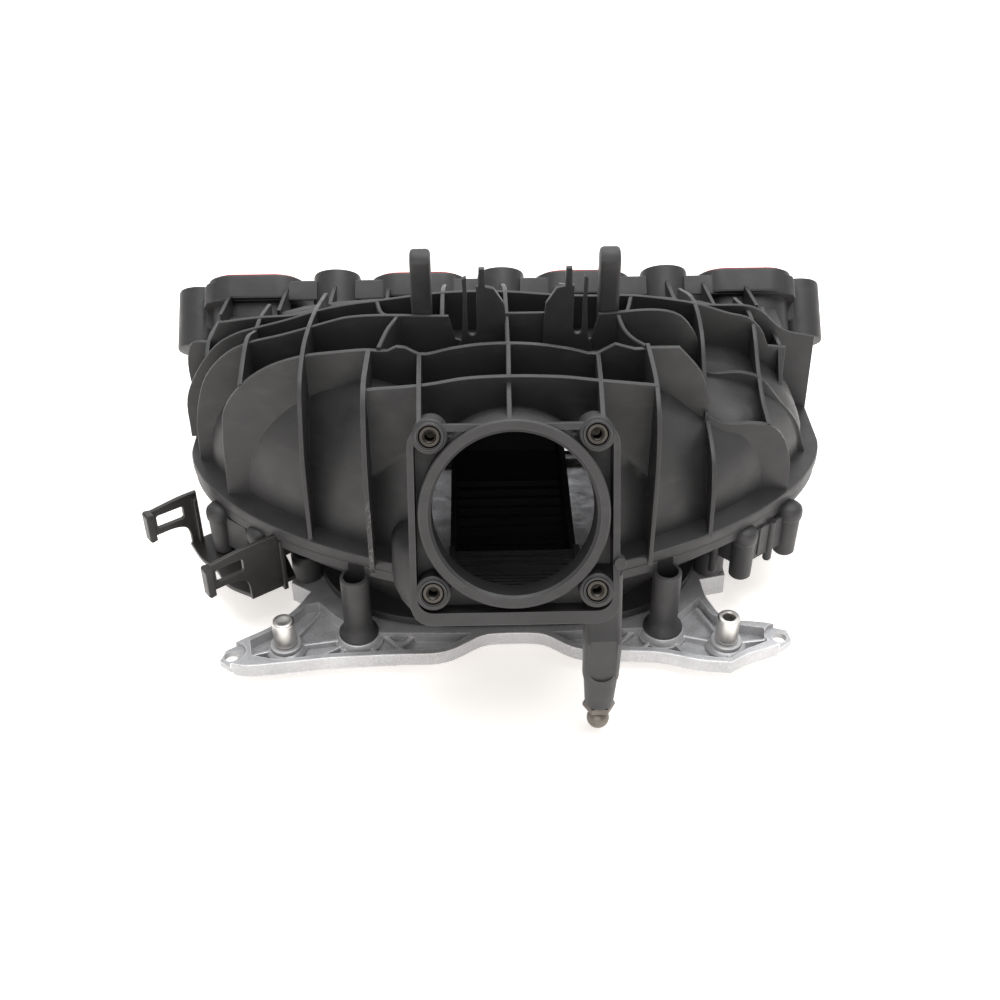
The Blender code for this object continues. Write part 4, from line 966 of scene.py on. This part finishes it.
EARS = [(-131, -102), (127, -96)]
LOCATORS = [(-106, -96), (101, -99)]
PLATE_OUTLINE = [(-136, -105), (-131, -109), (-124, -111), (-109, -110), (-84, -107), (-50, -105.5),
                 (-34, -105), (-28, -103), (-14, -94),
                 (-11, -93), (13, -93), (16, -94), (29, -103), (36, -105), (53, -106),
                 (69, -107.5), (87, -113), (101, -115), (109, -110), (127, -102.5), (132.5, -98), (131.5, -91),
                 (122, -88), (108, -86), (100, -80), (96, -68), (95, -56), (108, -53), (108, -41), (98, -36),
                 (98, 28), (116, 32), (116, 48), (98, 58), (-98, 58), (-116, 48), (-116, 32), (-98, 28),
                 (-98, -36), (-108, -41), (-108, -53), (-98, -60), (-104, -72), (-114, -84), (-127, -93),
                 (-134, -98)]
WING_POCKETS = [
    [(-121, -104), (-109, -107), (-84, -104), (-50, -102.5), (-34, -102), (-29, -100), (-19, -92), (-62, -90.5),
     (-80, -82), (-93, -68), (-99, -70), (-110, -84), (-123, -94)],
    [(19, -92), (29, -100), (36, -102), (53, -103), (69, -104.5), (88, -110), (101, -112), (108, -107),
     (120, -101), (120, -92), (106, -89), (97, -82), (92, -70), (80, -82), (62, -90.5)],
]
WING_RIBS = [((-106, -96), (-122, -101)), ((-106, -96), (-93, -72)), ((-106, -96), (-72, -90)),
             ((-106, -96), (-112, -86)), ((-72, -90), (-84, -106)), ((-72, -90), (-60, -105)),
             ((-72, -90), (-95, -106)), ((-60, -105), (-46, -90)), ((-46, -104), (-60, -90)),
             ((101, -99), (120, -97)), ((101, -99), (91, -74)), ((101, -99), (72, -90)),
             ((101, -99), (101, -113)), ((72, -90), (84, -110)), ((72, -90), (58, -105)),
             ((58, -105), (44, -90)), ((44, -104), (58, -90))]


def make_carrier_plate():
    base = prism(smooth(PLATE_OUTLINE, 3.0, 22, True), 0, PLATE_TOP, edge=0.7)
    boolean(base, [prism(smooth(pocket, 3.0, 22, True), PLATE_FLOOR, PLATE_TOP + 5) for pocket in WING_POCKETS],
            "DIFFERENCE")
    adds = []
    for point in LOCATORS:
        adds.append(turned([(9.6, 1), (9.4, 8.2), (8.6, 9), (7.6, 9.6), (7.3, PLATE_TOP - 0.4),
                            (6.8, PLATE_TOP)], point))
    for point in TOP_SCREWS:
        adds.append(turned([(11.5, 1), (11.3, 8.4), (10.6, 9.0), (9.8, PLATE_TOP - 0.4), (9.4, PLATE_TOP)], point))
    for start, end in WING_RIBS:
        adds.append(link_rib(start, end, 1, 9.2, 2.0, 0.5))
    cuts = [prism(plan_outline(grown(LOWER_PLAN, -10), 50, 3.2), 8, PLATE_TOP + 5)]
    for ear in EARS:
        cuts += [rod(3.3, -5, 20, ear), rod(7.2, 9.2, 20, ear), rod(7.6, -5, 6.0, ear)]
    cuts += [rod(4.3, 3, 20, point) for point in LOCATORS]
    cuts += [rod(SCREW_RADIUS + GAP, 2, 20, point) for point in TOP_SCREWS]
    cuts += [rod(SCREW_RADIUS + GAP, -5, 20, point) for point in BASE_SCREWS]
    cuts += [rod(SCREW_HEAD + 0.6, -5, SCREW_HEAD_HEIGHT + 0.9, point) for point in BASE_SCREWS]
    groove = prism(plan_outline(grown(LOWER_PLAN, -3), 57, 3.2), 9.5, 16)
    boolean(groove, [prism(plan_outline(grown(LOWER_PLAN, -6), 54, 3.2), 5, 20)], "DIFFERENCE")
    cuts.append(groove)
    cuts.append(prism([(-140, -98.5), (-140, -125), (140, -125), (140, -98.5)], -2, 4.8))
    cuts.append(prism([(-32, -86), (-32, -110), (34, -110), (34, -86)], -2, 4.8))
    finish_piece("carrier_plate", base, "cast_aluminium", adds, cuts)


def make_plate_seal():
    outer = plan_outline(grown(LOWER_PLAN, -3 - GAP), 57 - GAP, 3.2)
    inner = plan_outline(grown(LOWER_PLAN, -6 + GAP), 54 + GAP, 3.2)
    finish_piece("plate_seal", band(outer, inner, 9.8, LOWER_BOTTOM - GAP), "green_seal")


def make_plate_screw(number, centre, tip, head):
    """A socket screw between its tip and the seat of its head, either way up."""
    way = math.copysign(1, head - tip)
    crown = head + way * SCREW_HEAD_HEIGHT
    profile = [(0, tip), (SCREW_RADIUS - 0.6, tip + way * 0.3), (SCREW_RADIUS, tip + way * 1.2),
               (SCREW_RADIUS, head), (SCREW_HEAD, head), (SCREW_HEAD, crown - way * 0.6),
               (SCREW_HEAD - 0.5, crown), (0, crown)]
    socket = rod(2.4, crown - way * 3, crown + way * 3, centre, sides=6)
    finish_piece(f"plate_screw_{number}", turned(profile, centre), "zinc_steel", (), [socket])


def make_locators():
    foot = [(0, 3.3), (4.0, 3.3), (4.0, PLATE_TOP + 0.5), (5.3, PLATE_TOP + 0.5), (5.4, 13.5)]
    pin = turned(foot + [(5.3, 24.6), (4.9, 25.5), (4.2, 25.9), (2.6, 25.7), (0, 25.6)], LOCATORS[0])
    finish_piece("locating_pin", pin, "zinc_steel")
    sleeve = turned(foot + [(5.3, 25.2), (5.0, 25.7), (4.5, 26), (0, 26)], LOCATORS[1])
    bore = turned([(2.5, 8), (2.5, 24.8), (3.4, 26.2), (3.4, 30)], LOCATORS[1])
    finish_piece("locating_sleeve", sleeve, "zinc_steel", (), [bore])


# ---------------------------------------------------------------- harness bracket

BRACKET_ORIGIN = (-134.0, -49.0, 0.0)
BRACKET_OUT = Vector((-0.82, -0.57, 0.0)).normalized()
BRACKET_HALF = 27.0


def make_harness_bracket():
    """A channel with two windowed arms under the two left-hand pegs."""
    across = Vector((-BRACKET_OUT.y, BRACKET_OUT.x, 0))
    flat = frame_from(BRACKET_ORIGIN, BRACKET_OUT, across)
    plan = smooth([(-20, -14), (-4, -27), (12, -27), (13, -12), (11, 0), (12, 12), (6, 27), (-18, 27), (-22, 8)],
                  3, closed=True)
    base = prism(plan, 21, 23.4, flat, 0.5)
    adds = []
    cuts = []
    for side, inner, reach in ((-BRACKET_HALF, -8, -5), (BRACKET_HALF, 5, 0)):
        arm = frame_from(Vector(BRACKET_ORIGIN) + BRACKET_OUT * reach, BRACKET_OUT, (0, 0, 1))
        outline = [(inner, 21), (11, 21), (12, 32), (14, 34.5), (31, 36), (31, 50.5), (12, 52.5), (inner, 52.5)]
        adds.append(prism(smooth(outline, 2, 60), side - 1.1, side + 1.1, arm, 0.4))
        hook = [(29.2, 35.5), (32, 35), (33, 36), (33, 50.5), (32, 51.5), (29.2, 51)]
        adds.append(prism(hook, side - 4.5, side + 1.1, arm, 0.5))
        cuts.append(prism(rounded_box(14, 7.5, 1.2, (20, 43.4)), side - 6, side + 6, arm))
        adds.append(prism([(inner + 1, 21), (inner + 3.2, 21), (inner + 3.2, 50), (inner + 1, 50)],
                          side - 4, side + 4, arm, 0.4))
    finish_piece("harness_bracket", base, "bracket_plastic", adds, cuts)


# ---------------------------------------------------------------- studio

def add_area_light(name, place, target, size, power, colour):
    light = bpy.data.lights.new(name, "AREA")
    light.shape = "RECTANGLE"
    light.size, light.size_y = size
    light.energy = power
    light.color = colour
    obj = bpy.data.objects.new(name, light)
    obj.location = place
    obj.rotation_euler = (Vector(target) - Vector(place)).to_track_quat("-Z", "Y").to_euler()
    bpy.context.scene.collection.objects.link(obj)


def add_camera():
    pitch = math.radians(37.05)
    yaw = math.radians(1.18)
    roll = math.radians(-0.25)
    ahead = Vector((math.sin(yaw) * math.cos(pitch), math.cos(yaw) * math.cos(pitch), -math.sin(pitch)))
    right = Vector((math.cos(yaw), -math.sin(yaw), 0))
    up = right.cross(ahead)
    right = right * math.cos(roll) + up * math.sin(roll)
    up = right.cross(ahead)
    camera = bpy.data.objects.new("camera", bpy.data.cameras.new("camera"))
    camera.data.lens = 46.58
    camera.data.sensor_width = 36
    camera.matrix_world = Matrix((right, up, -ahead)).transposed().to_4x4()
    camera.location = Vector((-14.31, -543.0, 431.18)) * MM
    bpy.context.scene.collection.objects.link(camera)
    bpy.context.scene.camera = camera


def add_studio():
    half = 6.0
    mesh = bpy.data.meshes.new("floor")
    z = FLOOR_Z * MM
    mesh.from_pydata([(-half, -half, z), (half, -half, z), (half, half, z), (-half, half, z)], [], [(0, 1, 2, 3)])
    mesh.materials.append(plain_floor())
    floor = bpy.data.objects.new("floor", mesh)
    bpy.context.scene.collection.objects.link(floor)
    world = bpy.data.worlds.new("studio")
    world.use_nodes = True
    background = world.node_tree.nodes["Background"]
    background.inputs["Color"].default_value = (1.0, 0.99, 0.985, 1.0)
    background.inputs["Strength"].default_value = 0.82
    bpy.context.scene.world = world
    add_area_light("top", (0.15, 0.15, 1.6), (0, 0, 0.05), (1.6, 1.4), 24, (0.95, 0.975, 1.0))
    add_area_light("back", (0.0, 1.7, 1.1), (0, 0, 0.08), (2.4, 1.2), 9, (0.94, 0.97, 1.0))
    add_area_light("front", (-0.3, -1.6, 0.7), (0, 0, 0.02), (1.8, 0.9), 8, (1.0, 0.97, 0.94))
    bpy.context.scene.view_settings.view_transform = "Standard"


# ---------------------------------------------------------------- assembly

def build_pieces():
    make_upper_shell()
    make_lower_shell()
    make_runner_shell()
    make_inlet_guide()
    make_carrier_plate()
    make_plate_seal()
    for number, x in enumerate(PORT_XS, 1):
        make_port_seal(number, x)
    for number, (x, s) in enumerate(BOSSES, 1):
        make_flange_sleeve(number, x, s)
    for number, centre in enumerate(THROTTLE_SCREWS, 1):
        make_insert(number, centre)
    screws = [(centre, 2.5, 19.3) for centre in TOP_SCREWS]
    screws += [(centre, BASE_SCREW_TOP, SCREW_HEAD_HEIGHT + 0.6) for centre in BASE_SCREWS]
    for number, screw in enumerate(screws, 1):
        make_plate_screw(number, *screw)
    make_locators()
    make_stud()
    make_harness_bracket()


build_pieces()
add_camera()
add_studio()
